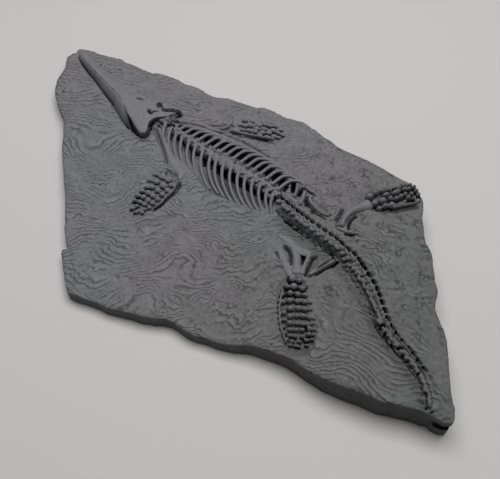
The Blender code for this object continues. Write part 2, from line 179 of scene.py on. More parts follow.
SPINE_HEIGHT = ((-45, 2.0), (-38, 2.6), (-28, 3.0), (55, 3.0), (66, 2.5), (80, 2.0), (94, 1.2))
FULL_HEIGHT = 3.0
LAST_UPPER_FOOT = 10.3
HIPS_AT = 40
# The tail's lumps lie looser from here on, and the small ones of its end: from, to and pitch
LOOSE_FROM = 60
TAIL_END_FROM, TAIL_END_TO, TAIL_END_PITCH = 83.5, 94.8, 1.15

# The ribs: where they start, the holes between the upper ones (low end, high end, half width),
# and the edges of the hollow they lie in
UPPER_RIB_FEET = (-38.4, -35.7, -32.9, -30.0, -26.8, -23.6, -20.6, -17.8, -14.8, -11.5, -8.4,
                  -5.5, -2.5, 0.7, 4.0, 7.2)
UPPER_HOLES = (
    ((-40.5, 12.4), (-39.2, 14.3), 0.9), ((-37.0, 13.0), (-36.9, 16.5), 1.1),
    ((-34.3, 13.8), (-34.1, 17.4), 1.2), ((-31.6, 15.2), (-31.3, 18.5), 1.3),
    ((-28.3, 15.4), (-28.2, 19.0), 1.3), ((-24.9, 16.3), (-25.0, 20.1), 1.3),
    ((-21.8, 17.5), (-22.1, 21.6), 1.2), ((-18.9, 17.8), (-19.2, 22.4), 1.2),
    ((-16.2, 18.6), (-16.5, 23.0), 1.4), ((-12.8, 19.2), (-13.1, 23.6), 1.4),
    ((-9.6, 20.1), (-9.9, 24.3), 1.2), ((-6.7, 20.7), (-7.0, 24.8), 1.2),
    ((-3.7, 20.7), (-4.1, 25.0), 1.2), ((-0.6, 21.1), (-0.9, 25.4), 1.3),
    ((2.6, 21.5), (2.4, 25.8), 1.3), ((5.9, 21.5), (5.7, 25.6), 1.3),
    ((8.5, 21.0), (7.8, 23.7), 0.3), ((10.7, 22.8), (8.3, 26.5), 0.58),
    ((13.6, 22.8), (12.3, 26.5), 0.5))
SHOULDER_LINE = ((-40, 15.2), (-36, 17.5), (-30, 20.2), (-25, 22.0), (-20, 23.5), (-15, 24.6),
                 (-10, 25.6), (-5, 26.2), (0, 26.7), (5, 26.9), (10, 27.0))
LOWER_RIB_FEET = (-43.4, -40.3, -37.3, -34.3, -31.0, -27.8, -24.4, -20.9, -18.2, -14.9, -11.7,
                  -8.3, -5.0, -1.7, 1.7, 5.2, 8.2)
# Sides of a rib, the size of the ring that closes it, and its stations above and below
RIB_SIDES, RIB_DOME = 12, 0.45
UPPER_STATIONS, LOWER_STATIONS = 34, 30
# The bent end of an upper rib: run along the shoulder line, place beside it, height above it
UPPER_RIB_BEND = ((0.9, -0.4, 0.3), (3.0, 0.5, 0.0), (6.2, 0.85, -0.15), (9.2, 1.1, -0.5))
# Places on a lower rib: shares of its reach and of its drop, and height above the stone
LOWER_RIB_SHAPE = ((-0.05, -0.10, 1.6), (0.0, 0.0, 1.6), (0.11, 0.27, 1.25), (0.25, 0.51, 0.75),
                   (0.41, 0.70, 0.15), (0.58, 0.84, -0.45), (0.76, 0.94, -0.8), (0.92, 1.0, -1.0))
BELLY_LINE = ((-46, 7.5), (-42, 6.2), (-38, 4.6), (-32, 3.4), (-26, 3.2), (-22, 2.9),
              (-16, 2.5), (-12, 1.8), (-9, 2.2), (-6.5, 3.3), (-4, 4.5), (0, 5.7), (4, 7.4),
              (8, 8.8), (12, 11.0), (20, 13))

# The pits along the far side of the tail
TAIL_PITS = (
    (11.0, 18.6), (13.6, 18.8), (16.0, 18.9), (18.2, 18.9), (20.5, 19.0), (22.7, 19.1),
    (25.0, 19.2), (27.6, 19.6), (30.2, 20.0), (32.8, 20.3), (35.1, 20.6), (37.7, 20.6),
    (40.7, 20.6), (43.2, 20.8), (45.6, 20.4), (47.3, 19.9), (49.1, 19.5), (51.6, 18.8),
    (54.4, 18.0), (56.7, 17.1), (58.7, 16.2), (61.0, 14.9), (63.5, 13.6), (66.0, 12.3),
    (68.9, 11.3), (71.4, 10.7), (74.3, 10.4), (76.8, 10.2), (78.9, 9.8), (81.4, 9.2),
    (84.2, 8.7), (86.7, 7.9), (88.8, 7.0), (90.8, 5.5), (92.6, 3.9))
# The loose lumps between the skull and the backbone: place and half length
NECK_LUMPS = (
    (-48.6, 9.9, 0.8), (-49.6, 11.0, 0.6), (-48.0, 11.6, 0.6),
    (-46.6, 8.8, 0.9), (-45.4, 10.9, 0.8), (-46.6, 12.0, 0.9), (-44.2, 12.4, 0.8),
    (-44.3, 9.0, 0.8), (-43.0, 13.6, 0.7), (-44.6, 14.7, 0.6), (-42.6, 11.6, 0.8),
    (-45.6, 7.2, 0.7), (-43.4, 7.6, 0.6))

# Two gaps behind the eye, which go on in the stone beside the skull
SKULL_CREVICE = (
    (-54.0, 13.4), (-53.3, 12.8), (-51.8, 12.4), (-50.3, 12.6), (-49.4, 13.8), (-48.5, 15.4),
    (-47.3, 16.1), (-45.6, 15.6))
SKULL_POCKET = ((-47.0, 17.0), (-46.4, 16.2), (-45.4, 16.4))

# Slits and hollows cut into the stone: line, width, depth. A quarter of the depth is also painted
# shade in them
SLITS = (
    (((25.6, 6.8), (27.6, 6.7), (29.2, 6.0), (30.6, 5.0), (31.6, 3.9)), 0.65, 1.7),
    (((26.6, 5.6), (28.6, 5.0)), 1.3, 0.5),
    (((31.2, 9.3), (32.6, 8.8), (34.4, 7.0)), 0.95, 2.4),
    (((35.2, 11.5), (35.0, 10.4), (35.7, 8.9), (36.6, 6.9), (37.8, 4.6)), 0.6, 2.3),
    (((36.2, 10.2), (37.2, 8.6), (37.8, 6.6)), 1.2, 0.7),
    (((40.6, 15.5), (40.8, 13.6), (40.3, 10.9), (39.7, 7.2)), 0.85, 2.1),
    (((25.0, 3.2), (28.4, 2.8)), 0.45, 1.0),
    (((17.6, 14.2), (22.0, 14.4), (26.0, 14.8), (29.0, 15.4), (32.0, 16.0), (36.0, 16.3),
      (40.0, 16.0)), 0.8, 1.0),
    (((11.8, 26.6), (13.5, 26.8), (16.0, 27.0), (17.4, 27.2)), 0.42, 2.2),
    (((16.6, 24.6), (17.6, 23.4), (18.6, 22.6)), 0.9, 2.2),
    (((18.6, 22.7), (21.2, 22.5), (24.0, 22.3), (27.2, 22.9)), 0.42, 1.8),
    (((19.6, 25.2), (22.0, 24.9), (25.6, 25.1)), 1.0, 0.45),
    (((21.8, 22.4), (22.3, 21.6)), 0.7, 1.8),
    (((28.1, 29.7), (28.8, 28.3), (29.4, 26.7), (30.2, 25.2)), 0.6, 1.7),
    (((32.7, 31.5), (32.8, 29.5), (33.3, 27.8), (34.0, 26.8), (34.8, 26.2)), 0.5, 2.8),
    (((35.9, 23.8), (36.9, 24.7), (37.7, 25.9)), 0.55, 1.9),
    (((31.6, 23.8), (32.0, 23.9)), 0.55, 1.4),
    (((37.4, 40.0), (39.6, 43.0), (41.2, 46.3), (43.0, 49.5)), 0.9, 1.3),
    (((-25.6, 25.4), (-23.6, 25.7), (-21.6, 27.0), (-19.4, 28.5), (-17.0, 30.1),
      (-14.4, 31.4), (-11.2, 33.2)), 0.5, 1.2),
    (((-38.0, 16.6), (-34.0, 19.3), (-30.0, 21.4), (-26.0, 23.3), (-20.5, 25.1)), 0.42, 1.0),
    (((-28.0, 21.6), (-23.0, 23.6), (-18.0, 25.2), (-14.0, 26.0)), 0.35, 0.8),
    (((-20.0, 25.6), (-16.5, 26.3), (-12.5, 27.0), (-6.5, 27.4)), 0.42, 1.1),
    (((-13.5, 26.0), (-10.5, 26.5), (-7.5, 26.9)), 0.36, 0.9),
    (((-33.4, 22.0), (-31.9, 23.5), (-31.0, 25.0), (-30.4, 26.4)), 0.75, 1.5),
    (((-30.6, 22.7), (-29.0, 23.7), (-27.9, 25.0), (-27.6, 26.6)), 0.55, 1.9),
    (((-42.8, 14.8), (-40.8, 17.1), (-38.8, 18.6), (-36.9, 19.6), (-33.9, 21.9)), 0.35, 0.5),
    (((-19.2, -3.2), (-17.4, -5.6), (-16.6, -8.6), (-16.1, -11.6), (-15.4, -14.2),
      (-15.5, -16.8)), 0.7, 1.5),
    (((-19.2, -3.4), (-18.4, -4.0)), 1.0, 2.0),
    (((-27.8, -2.8), (-24.8, -2.5), (-23.0, -1.9), (-22.2, -1.0)), 0.5, 1.0),
    (((-46.2, 5.0), (-43.6, 4.4), (-40.6, 3.2), (-36.8, 2.3), (-33.0, 0.9), (-29.8, -0.9)),
     0.9, 0.8),
    (((-49.9, 7.6), (-48.6, 5.8), (-47.2, 4.0), (-46.0, 2.4), (-45.1, 0.8), (-45.5, -0.5),
      (-47.6, -1.1), (-52.0, -1.1)), 0.55, 3.0),
    (((-56.5, 0.4), (-53.5, -0.5), (-50.0, -1.0)), 0.9, 2.5),
    (((-40.6, 8.7), (-38.6, 7.1)), 0.7, 2.2),
    (((-33.6, 7.9), (-31.8, 6.5)), 0.7, 2.2),
    (((-32.4, 9.5), (-30.2, 7.9)), 0.6, 2.0),
    (((-28.8, 9.7), (-25.2, 7.1)), 0.8, 2.6),
    (((-23.0, 11.1), (-20.4, 9.1)), 0.9, 2.8),
    (((64.5, 9.6), (68.0, 8.8), (72.0, 8.4), (76.0, 8.2), (80.0, 8.0),
      (84.0, 7.1)), 1.3, 1.2),
    (((91.6, 0.5), (92.6, 1.5)), 0.4, 0.4),
    (((93.6, 1.0), (94.6, 2.0)), 0.4, 0.5),
    (((95.4, 1.5), (96.4, 2.7)), 0.4, 0.5),
    (((97.2, 2.0), (98.0, 3.5)), 0.45, 0.6),
    (((-97.0, 4.2), (-92.4, 3.0), (-88.4, 2.5), (-84.4, 2.1), (-80.4, 1.8), (-76.4, 1.3),
      (-72.4, 0.9), (-68.4, 0.6), (-66.4, 0.3)), 0.42, 1.9),
    (((-66.4, 0.3), (-64.4, -0.3), (-60.4, -1.2), (-56.4, -1.9), (-52.4, -2.2)), 0.5, 0.9),
    (SKULL_CREVICE, 0.95, 3.4),
    (SKULL_POCKET, 1.0, 3.4),
    (((-45.6, 13.5), (-45.4, 13.2)), 0.8, 2.2),
    (((-46.1, 10.6), (-45.7, 8.6)), 0.45, 2.2),
    (((-43.9, 10.6), (-43.7, 10.2)), 0.5, 2.2),
    (((-8.0, -11.0), (-10.3, -15.0), (-11.7, -19.0), (-12.2, -22.0), (-14.3, -25.4)),
     1.1, 0.45),
    (((-22.8, 26.8), (-20.4, 28.1), (-16.6, 30.8), (-13.4, 32.6)), 0.5, 1.1),
    (((-25.2, 26.0), (-22.8, 26.8)), 0.9, 0.9),
)
# The sunk ground under each paddle: line, half width, depth
PADDLE_BEDS = (
    (((-23.2, -5.5), (-21.2, -12), (-19.6, -20.0)), 4.2, 0.5),
    (((-25.0, 31.0), (-19, 34.0), (-12.5, 36.6)), 3.0, 0.15),
    (((38.8, -1.9), (44.6, -6.8), (49.8, -10.2), (53.8, -12.4)), 4.8, 0.65),
    (((33.0, 41), (35.8, 46), (38, 52)), 4.2, 1.0),
)

# The skull: borders of its roof, its height, and the lower jaw beside it
SKULL_NEAR = ((-98, 6), (-94.5, 4.9), (-91.4, 4.2), (-87.2, 3.8), (-83, 3.5), (-79, 3.5),
              (-74.9, 3.5), (-70.8, 3.3), (-66.7, 3.1), (-63.6, 2.6), (-61.1, 2.0), (-59.5, 1.5),
              (-56.5, 0.6), (-53.4, 0.0), (-50.4, -0.6), (-47.5, -1.2), (-45.0, -1.4))
SKULL_FAR = ((-98, 7.6), (-93.7, 8.2), (-85.7, 8.6), (-78.7, 9), (-72.7, 9.9), (-66.7, 11.4),
             (-60.7, 14), (-57.7, 16), (-55.7, 17.6), (-50.7, 19.6), (-47.7, 20.4))
SKULL_REAR = ((-45.0, -1.4), (-44.1, -0.8), (-43.7, 0.2), (-44.6, 1.5), (-46.1, 2.8),
              (-47.3, 4.2), (-47.9, 5.8), (-48.0, 7.6), (-47.4, 9.4), (-46.9, 11.5),
              (-46.6, 14), (-46.8, 17), (-47.7, 20.4))
SKULL_SNOUT = ((-98, 6), (-98, 7.6))
SKULL_HEIGHT = ((-98, 0.9), (-92, 2.0), (-84, 2.7), (-74, 3.1), (-64, 3.6), (-54, 4.0),
                (-44, 3.7))
# Openings of the skull, its two gaps first: line, width, depth
SKULL_OPENINGS = (
    (SKULL_CREVICE, 0.95, 5.5),
    (SKULL_POCKET, 1.0, 5.5),
    (((-60.7, 8.5), (-59.9, 9.5)), 0.62, 2.6),
    (((-52.7, 7.8), (-51.7, 7.4), (-50.7, 7.4)), 0.55, 3.6),
    (((-51.1, 7.6), (-51.1, 8.8), (-50.7, 9.9)), 0.45, 2.6))
# The side of the snout and the jaw: its foot on the stone, and its upper edge under the roof
JAW_FOOT = ((-98.3, 5.0), (-95.4, 3.8), (-92.4, 3.3), (-88.4, 2.8), (-84.4, 2.4), (-80.4, 2.1),
            (-76.4, 1.6), (-72.4, 1.2), (-68.4, 0.9), (-66.4, 0.6), (-64.4, 0.0), (-60.4, -0.9),
            (-57.6, -1.5), (-54.0, -2.0), (-50.5, -2.2))
JAW_TOP = ((-98.0, 6.2), (-94.4, 5.1), (-91.3, 4.5), (-87.1, 4.1), (-83, 3.8), (-79, 3.8),
           (-74.9, 3.8), (-70.8, 3.6), (-66.7, 3.4), (-63.5, 2.9), (-61, 2.3), (-59.6, 2.1),
           (-58.2, 1.6), (-56.5, 0.8), (-54.5, -0.2), (-52.5, -1.1), (-50.5, -1.8))
# Cells of the two surfaces, lengthwise and across, and how far their edges reach into the stone
SKULL_CELLS, JAW_CELLS = (190, 64), (170, 18)
SUNK_IN = 1.2

# The small bones of the paddles: place, half length and half width, from the limb outwards,
# and the line of the bar along one side
LOWER_FORE_BONES = (
    (-26.6, -4.3, 1.2, 0.8), (-25.3, -5.9, 1.3, 1.2), (-22.7, -5.1, 1.3, 1.1),
    (-20.1, -5.7, 1.1, 0.9), (-27.6, -7.3, 1.0, 0.7), (-24.7, -8.8, 1.2, 1.0),
    (-21.7, -8.1, 1.3, 1.1), (-19.1, -8.1, 1.1, 1.0), (-26.8, -10.3, 1.1, 0.7),
    (-23.7, -11.4, 1.2, 0.9), (-21.1, -10.8, 1.2, 0.9), (-18.7, -10.7, 1.1, 0.8),
    (-25.0, -13.0, 0.9, 0.6), (-22.6, -13.9, 1.1, 0.9), (-20.3, -13.4, 1.1, 0.9),
    (-18.0, -13.1, 1.0, 0.8), (-24.6, -15.2, 0.9, 0.6), (-22.1, -16.2, 1.0, 0.9),
    (-19.8, -16.0, 1.0, 0.8), (-17.7, -15.5, 0.9, 0.7), (-24.0, -17.4, 1.0, 0.7),
    (-21.1, -18.3, 0.9, 0.7), (-19.1, -17.8, 0.9, 0.7), (-16.9, -17.3, 0.9, 0.6),
    (-22.9, -19.3, 0.8, 0.6), (-20.4, -20.2, 0.9, 0.6), (-17.6, -19.2, 0.9, 0.6),
    (-18.4, -20.7, 0.9, 0.5), (-16.9, -20.4, 0.7, 0.45), (-20.6, -22.0, 0.9, 0.5),
    (-18.5, -22.0, 0.9, 0.45))
LOWER_FORE_EDGE = ((-19.0, -4.9), (-17.9, -6.5), (-17.3, -9), (-16.9, -11), (-16.2, -12.9),
                   (-16.1, -15.5))
UPPER_FORE_BONES = (
    (-27.4, 29.8, 1.7, 1.2), (-25.4, 27.3, 1.5, 1.1), (-26.4, 32.7, 1.1, 0.8),
    (-24.6, 31.0, 1.1, 0.9), (-23.5, 29.2, 1.0, 0.7), (-22.9, 32.6, 1.1, 0.9),
    (-23.9, 34.2, 1.0, 0.6), (-21.6, 30.6, 1.1, 0.7), (-20.9, 34.6, 1.2, 0.7),
    (-20.0, 33.1, 1.2, 0.7), (-19.4, 31.7, 1.0, 0.6), (-19.4, 36.3, 1.1, 0.6),
    (-17.9, 34.8, 1.2, 0.7), (-17.2, 33.2, 1.1, 0.7), (-16.8, 31.7, 1.0, 0.6),
    (-17.6, 37.1, 1.1, 0.6), (-15.3, 34.6, 1.2, 0.7), (-14.9, 36.6, 1.2, 0.8),
    (-14.3, 33.1, 1.0, 0.6), (-15.8, 38.4, 1.1, 0.6), (-12.6, 35.0, 1.1, 0.7),
    (-12.6, 37.0, 1.0, 0.6), (-12.9, 38.6, 0.9, 0.5), (-10.9, 35.7, 0.9, 0.6),
    (-10.6, 37.4, 0.8, 0.5))
UPPER_FORE_EDGE = ((-26.2, 26.6), (-23.6, 27.4), (-20.8, 28.8), (-18, 30.5), (-15.5, 31.9),
                   (-12.2, 33.8))
LOWER_HIND_BONES = (
    (36.2, 0.6, 1.4, 1.3), (38.3, 1.6, 1.1, 0.9), (41.2, 1.9, 0.9, 0.8), (41.2, 0.3, 1.1, 0.8),
    (38.7, -1.0, 1.5, 1.1), (37.2, -2.6, 1.0, 0.8), (39.7, -3.4, 1.1, 0.9),
    (41.7, -2.0, 1.1, 0.9), (43.5, -0.6, 1.1, 0.7), (38.4, -5.4, 0.9, 0.7),
    (41.6, -5.3, 1.2, 0.9), (43.4, -3.7, 1.1, 0.9), (45.1, -2.3, 1.1, 0.8),
    (46.5, -1.2, 0.8, 0.7), (40.5, -7.1, 1.1, 0.7), (43.9, -7.1, 1.2, 0.9),
    (45.5, -5.3, 1.1, 0.9), (47.1, -4.0, 1.1, 0.8), (48.4, -2.8, 0.8, 0.6),
    (43.7, -9.5, 1.1, 0.7), (45.9, -9.0, 1.1, 0.9), (47.1, -7.3, 1.0, 0.8),
    (48.5, -6.0, 1.1, 0.8), (50.1, -4.9, 1.0, 0.8), (51.3, -4.1, 0.7, 0.6),
    (45.7, -11.0, 1.1, 0.5), (47.6, -10.5, 1.1, 0.8), (49.0, -9.2, 0.9, 0.7),
    (50.3, -8.0, 0.9, 0.7), (51.4, -6.9, 1.0, 0.8), (52.4, -5.5, 0.8, 0.6),
    (49.2, -11.9, 1.1, 0.7), (50.5, -10.6, 0.9, 0.7), (51.8, -9.3, 0.9, 0.7),
    (53.0, -7.4, 1.0, 0.8), (54.2, -6.4, 0.8, 0.6), (50.6, -13.2, 0.9, 0.55),
    (51.9, -12.2, 0.8, 0.55), (53.3, -10.8, 0.8, 0.6), (54.1, -8.8, 0.9, 0.65),
    (55.4, -7.7, 0.7, 0.5), (52.5, -13.9, 0.9, 0.45), (54.0, -12.4, 0.9, 0.5),
    (55.2, -10.5, 0.8, 0.5), (56.0, -9.2, 0.7, 0.5), (54.7, -13.7, 1.2, 0.4),
    (56.3, -11.6, 0.8, 0.4), (37.4, -4.4, 0.6, 0.5), (38.3, -6.0, 0.6, 0.5),
    (39.4, -7.6, 0.6, 0.5), (40.7, -9.0, 0.6, 0.5), (42.1, -10.3, 0.6, 0.5),
    (43.6, -11.6, 0.6, 0.5), (45.2, -12.7, 0.6, 0.5), (47.3, -12.7, 0.8, 0.5),
    (46.9, -13.9, 0.5, 0.4), (49.0, -13.7, 0.8, 0.5), (50.9, -14.6, 0.8, 0.5),
    (53.0, -15.0, 0.8, 0.45))
LOWER_HIND_EDGE = ((37.5, -4.6), (40, -7.8), (43.5, -11), (47, -13.4), (51, -15.2))
UPPER_HIND_BONES = (
    (30.4, 40.0, 1.3, 1.0), (33.3, 39.3, 1.2, 1.0), (35.8, 39.0, 1.0, 0.8),
    (30.5, 42.4, 1.0, 0.7), (34.3, 42.1, 1.4, 1.0), (36.3, 41.2, 1.1, 0.8),
    (31.3, 44.6, 1.0, 0.6), (33.4, 44.7, 1.4, 0.7), (35.3, 44.7, 0.9, 0.8),
    (37.4, 43.2, 1.2, 1.1), (32.2, 46.8, 1.1, 0.6), (36.5, 46.3, 0.9, 0.7),
    (39.1, 45.7, 1.0, 0.7), (34.8, 48.0, 1.6, 0.8), (33.0, 49.4, 1.0, 0.6),
    (37.0, 48.0, 0.8, 0.8), (39.3, 47.4, 0.8, 0.7), (37.2, 49.9, 0.8, 0.7),
    (38.9, 49.6, 0.9, 0.7), (35.4, 51.2, 1.0, 0.6), (38.4, 51.6, 0.9, 0.7),
    (36.4, 52.5, 0.9, 0.6), (34.3, 52.4, 0.8, 0.6), (40.1, 51.1, 0.8, 0.6),
    (41.5, 51.2, 0.9, 0.5), (35.4, 54.2, 0.8, 0.6), (36.9, 54.5, 0.9, 0.6),
    (38.5, 53.9, 0.9, 0.6), (40.0, 53.3, 0.9, 0.6))
UPPER_HIND_EDGE = ((38.8, 43.6), (39.8, 45.6), (40.8, 47.6), (41.8, 49.6), (42.2, 51.4))
# Each paddle: its bones, its bar, heading, height, and how much longer and wider bones are made
PADDLES = {
    "lower_fore_paddle": (LOWER_FORE_BONES, LOWER_FORE_EDGE, 50, 1.5, 1.12, 1.1),
    "upper_fore_paddle": (UPPER_FORE_BONES, UPPER_FORE_EDGE, 31, 1.15, 1.1, 1.08),
    "lower_hind_paddle": (LOWER_HIND_BONES, LOWER_HIND_EDGE, 42, 1.6, 0.84, 1.0),
    "upper_hind_paddle": (UPPER_HIND_BONES, UPPER_HIND_EDGE, 68, 1.9, 1.02, 1.0),
}

# How often a limb bone has a lump along its line, and how often blended lumps are smoothed
LUMP_EVERY = 0.45
SMOOTHINGS = 2
# The limb and hip bones: height, and the lines each is made of, with half widths
LIMBS = {
    "lower_shoulder_blade": (1.2, (
        ((-44.2, 6.2), (-41.0, 5.1), (-38.0, 4.1), (-35.0, 3.1), (-32.0, 2.0), (-29.5, 1.0)),
        (0.8, 1.0, 1.1, 1.2, 1.4, 1.6))),
    "lower_humerus": (1.1, (
        ((-31.5, 1.7), (-28.5, 1.0), (-25.5, 0.6), (-22.6, 0.2), (-20.6, -1.6)),
        (1.4, 2.0, 2.3, 1.8, 1.0))),
    "upper_shoulder_strap": (0.9, (
        ((-42.0, 14.6), (-40.0, 17.0), (-37.6, 18.7), (-35.0, 20.2), (-32.9, 21.3)),
        (0.6, 0.8, 0.8, 0.8, 0.6)), (
        ((-34.6, 20.2), (-31.9, 21.9), (-30.1, 23.6), (-29.1, 25.2), (-28.9, 26.8),
         (-29.2, 28.4)), (0.45, 0.55, 0.6, 0.65, 0.65, 0.7)), (
        ((-33.0, 20.2), (-29.9, 22.1), (-28.0, 23.4), (-26.8, 25.0), (-26.4, 26.6),
         (-25.6, 28.4)), (0.45, 0.5, 0.55, 0.6, 0.65, 0.8))),
    "upper_humerus": (1.3, (((-28.9, 29.9), (-27.6, 28.9), (-26.2, 28.2)), (1.1, 1.3, 1.0))),
    "lower_hip_bar": (0.4, (
        ((21.5, 8.4), (25.5, 9.1), (29.5, 8.9), (33.0, 10.6)), (0.9, 1.2, 1.5, 1.2))),
    "lower_hip_plate": (0.3, (
        ((24.4, 5.4), (27.6, 3.9), (31.0, 2.6), (34.4, 1.2)), (0.8, 1.2, 1.3, 1.0))),
    "lower_femur": (0.6, (
        ((27.6, 8.8), (31.0, 6.8), (33.0, 5.3), (35.4, 3.3)), (1.2, 1.0, 1.2, 1.7))),
    "lower_hip_branch": (0.5, (
        ((32.6, 10.8), (34.0, 9.0), (35.1, 6.8), (36.6, 4.2)), (1.0, 0.6, 0.6, 1.0))),
    "lower_hip_blade": (1.5, (
        ((38.7, 14.6), (38.7, 11.5), (38.8, 8.5), (38.9, 5.4)), (0.6, 0.5, 0.45, 0.4)), (
        ((40.2, 14.6), (40.2, 11.5), (39.9, 8.5), (39.4, 5.4)), (0.55, 0.45, 0.4, 0.35))),
    "upper_hip_bar": (0.6, (
        ((28.9, 24.2), (28.2, 26.8), (27.0, 29.6)), (0.5, 0.35, 0.35)), (
        ((31.8, 24.8), (31.2, 27.4), (30.2, 29.8), (29.6, 31.6)), (0.5, 0.6, 0.7, 0.7))),
    "upper_femur": (1.5, (
        ((32.6, 25.0), (31.2, 28.0), (30.7, 31.0), (31.2, 34.4), (32.2, 38.0)),
        (1.0, 1.0, 1.1, 1.6, 2.2))),
    "upper_hip_spike": (0.8, (((32.8, 23.4), (35.6, 24.5), (38.2, 26.4)), (0.7, 0.6, 0.35))),
    "belly_plate": (1.2, (
        ((17.5, 25.7), (17.6, 24.7), (19.0, 23.9), (21.8, 23.5), (24.8, 23.5), (26.6, 24.1),
         (27.0, 25.2)), (0.5, 0.65, 0.65, 0.6, 0.55, 0.5, 0.3)), (
        ((10.1, 26.0), (11.6, 24.3), (13.2, 22.0)), (0.5, 0.6, 0.5)), (
        ((14.4, 25.4), (15.6, 23.6), (16.9, 21.2)), (0.85, 0.8, 0.7))),
}


def smooth(t):
    """Smooth step from 0 to 1."""
    t = np.clip(t, 0.0, 1.0)
    return t * t * (3 - 2 * t)


def read(stations, x):
    """A value listed at a few stations, read between them."""
    places, values = zip(*stations)
    return np.interp(x, places, values)


def along(points, shares):
    """The points at these shares of a line's length."""
    points = np.array(points, float)
    steps = np.linalg.norm(np.diff(points, axis=0), axis=1)
    reached = np.concatenate(([0.0], np.cumsum(steps))) / steps.sum()
    return np.stack([np.interp(shares, reached, axis) for axis in points.T], axis=-1)


def flowing(points, count):
    """A smooth curve through the points, as count points."""
    points = np.array(points, float)
    padded = np.vstack((2 * points[0] - points[1], points, 2 * points[-1] - points[-2]))
    curve = []
    for share in np.linspace(0, len(points) - 1, count):
        k = min(int(share), len(points) - 2)
        t = share - k
        a, b, c, d = padded[k:k + 4]
        curve.append(0.5 * (2 * b + (c - a) * t + (2 * a - 5 * b + 4 * c - d) * t ** 2
                            + (3 * b - a - 3 * c + d) * t ** 3))
    return np.array(curve)


def patch(near, far, start, end, cells):
    """Plan places of a grid stretched between four borders: u runs along near, v towards far."""
    u = np.linspace(0, 1, cells[0] + 1)[:, None, None]
    v = np.linspace(0, 1, cells[1] + 1)[None, :, None]
    low, high = along(near, u[:, :, 0]), along(far, u[:, :, 0])
    first, last = along(start, v[:, :, 0]), along(end, v[:, :, 0])
    a, b, c, d = (np.array(corner, float) for corner in (near[0], near[-1], far[0], far[-1]))
    ruled = (1 - v) * low + v * high + (1 - u) * first + u * last
    return ruled - ((1 - u) * (1 - v) * a + u * (1 - v) * b + (1 - u) * v * c + u * v * d)


def swell(x, y, length, seed, heading=None, spread=0.5):
    """Smooth waves about length millimetres long, near -1 to 1, in all directions or one."""
    rng = np.random.default_rng(seed)
    total = 0.0
    for _ in range(SWELL_WAVES):
        turn = rng.uniform(-math.pi, math.pi)
        if heading is not None:
            turn = math.radians(heading) + spread * turn / math.pi
        pace = 2 * math.pi / length * rng.uniform(0.65, 1.45)
        total = total + np.sin(pace * (x * math.cos(turn) + y * math.sin(turn))
                               + rng.uniform(0, 2 * math.pi))
    return total / SWELL_SUM


def mound(x, y, place, reach, turn=0.0):
    """1 at a place, falling to 0 around it."""
    c, s = math.cos(math.radians(turn)), math.sin(math.radians(turn))
    dx, dy = x - place[0], y - place[1]
    across = ((dx * c + dy * s) / reach[0]) ** 2 + ((dy * c - dx * s) / reach[1]) ** 2
    return np.exp(-across)


def stroke(x, y, points, width, flat=0.0):
    """1 on a line of points and flat beside it, falling to 0 over a width."""
    nearest = np.full(np.shape(x), 1e9)
    for (ax, ay), (bx, by) in zip(points, points[1:]):
        dx, dy = bx - ax, by - ay
        t = np.clip(((x - ax) * dx + (y - ay) * dy) / (dx * dx + dy * dy), 0, 1)
        nearest = np.minimum(nearest, np.hypot(x - ax - t * dx, y - ay - t * dy))
    return 1 - smooth((nearest - flat) / width)


def rib_bed(x, y, depth):
    """Depth of the bed of the ribs: it falls towards the backbone and is shallow behind it."""
    spine, belly = read(SPINE_LINE, x), read(BELLY_LINE, x)
    ends = smooth((x - BED_FROM) / BED_FADE) * smooth((BED_TO - x) / BED_FADE)
    slope = np.maximum(spine - BED_FLAT + 0.3 * smooth((x + 15) / 6) - belly, 1.0)
    t = np.clip((y - belly) / slope, 0, 1)
    front = 0.3 * smooth((y - belly) / 2.2) + 0.15 * t + 0.55 * smooth((t - 0.78) / 0.22)
    front = front * (0.3 + 0.7 * smooth((x + 26) / 14))
    behind = BED_BEHIND * (1 - smooth((y - read(SHOULDER_LINE, x) + 0.5) / BED_WALL))
    near = smooth((spine + 1.0 - y) / 2)
    return ends * (depth * front * near + behind * (1 - near))


def flank_painted_shade(x, y):
    """Painted shade on the stone at the ends of the lower ribs and on the flank in front of the
    tail, 0 to 1.
    """
    spine, belly = read(SPINE_LINE, x), read(BELLY_LINE, x)
    rim = (1 - smooth(abs(y - belly - 1.0) / 1.1)) * smooth((x + 36) / 8) * smooth((10 - x) / 3)
    flank = smooth((spine - y - 0.6) / 1.2) * smooth((x - 10) / 8) * smooth((98 - x) / 5)
    flank = flank * (1 - smooth((spine - y - read(TAIL_STEP_WIDTH, x) - 1.6) / 4.4))
    shaded = 0.2 + 0.12 * (1 - smooth((x - 38) / 6)) * (1 - smooth(abs(y - spine + 1.6) / 1.4))
    return np.maximum(0.15 * rim, shaded * flank)


def tail_pits():
    """The pits behind the tail and, from the hips on, in front of it: line, width, flat, depth."""
    pits = []
    for (ax, ay), (bx, _) in zip(TAIL_PITS, TAIL_PITS[1:]):
        large = smooth((70 - ax) / 8)
        half = (0.3 - 0.16 * large) * (bx - ax)
        line = ((ax - half, ay + 0.1), (ax + half, ay - 0.1))
        deep = (1.5 + 0.7 * large) * (1 - 0.6 * smooth((ax - 84) / 4))
        pits.append((line, 0.45, 0.1 + 0.26 * large, deep))
        if ax > HIPS_AT:
            middle = (ax + bx) / 2
            under = read(SPINE_LINE, middle) - 0.35 - 0.45 * read(TAIL_STEP_WIDTH, ax)
            line = ((middle - 0.3, under + 0.25), (middle + 0.2, under - 0.15))
            uneven = 0.8 + 0.5 * math.sin(7.3 * ax)
            pits.append((line, 0.45, 0.15, (0.6 + 0.5 * large) * uneven))
    return pits


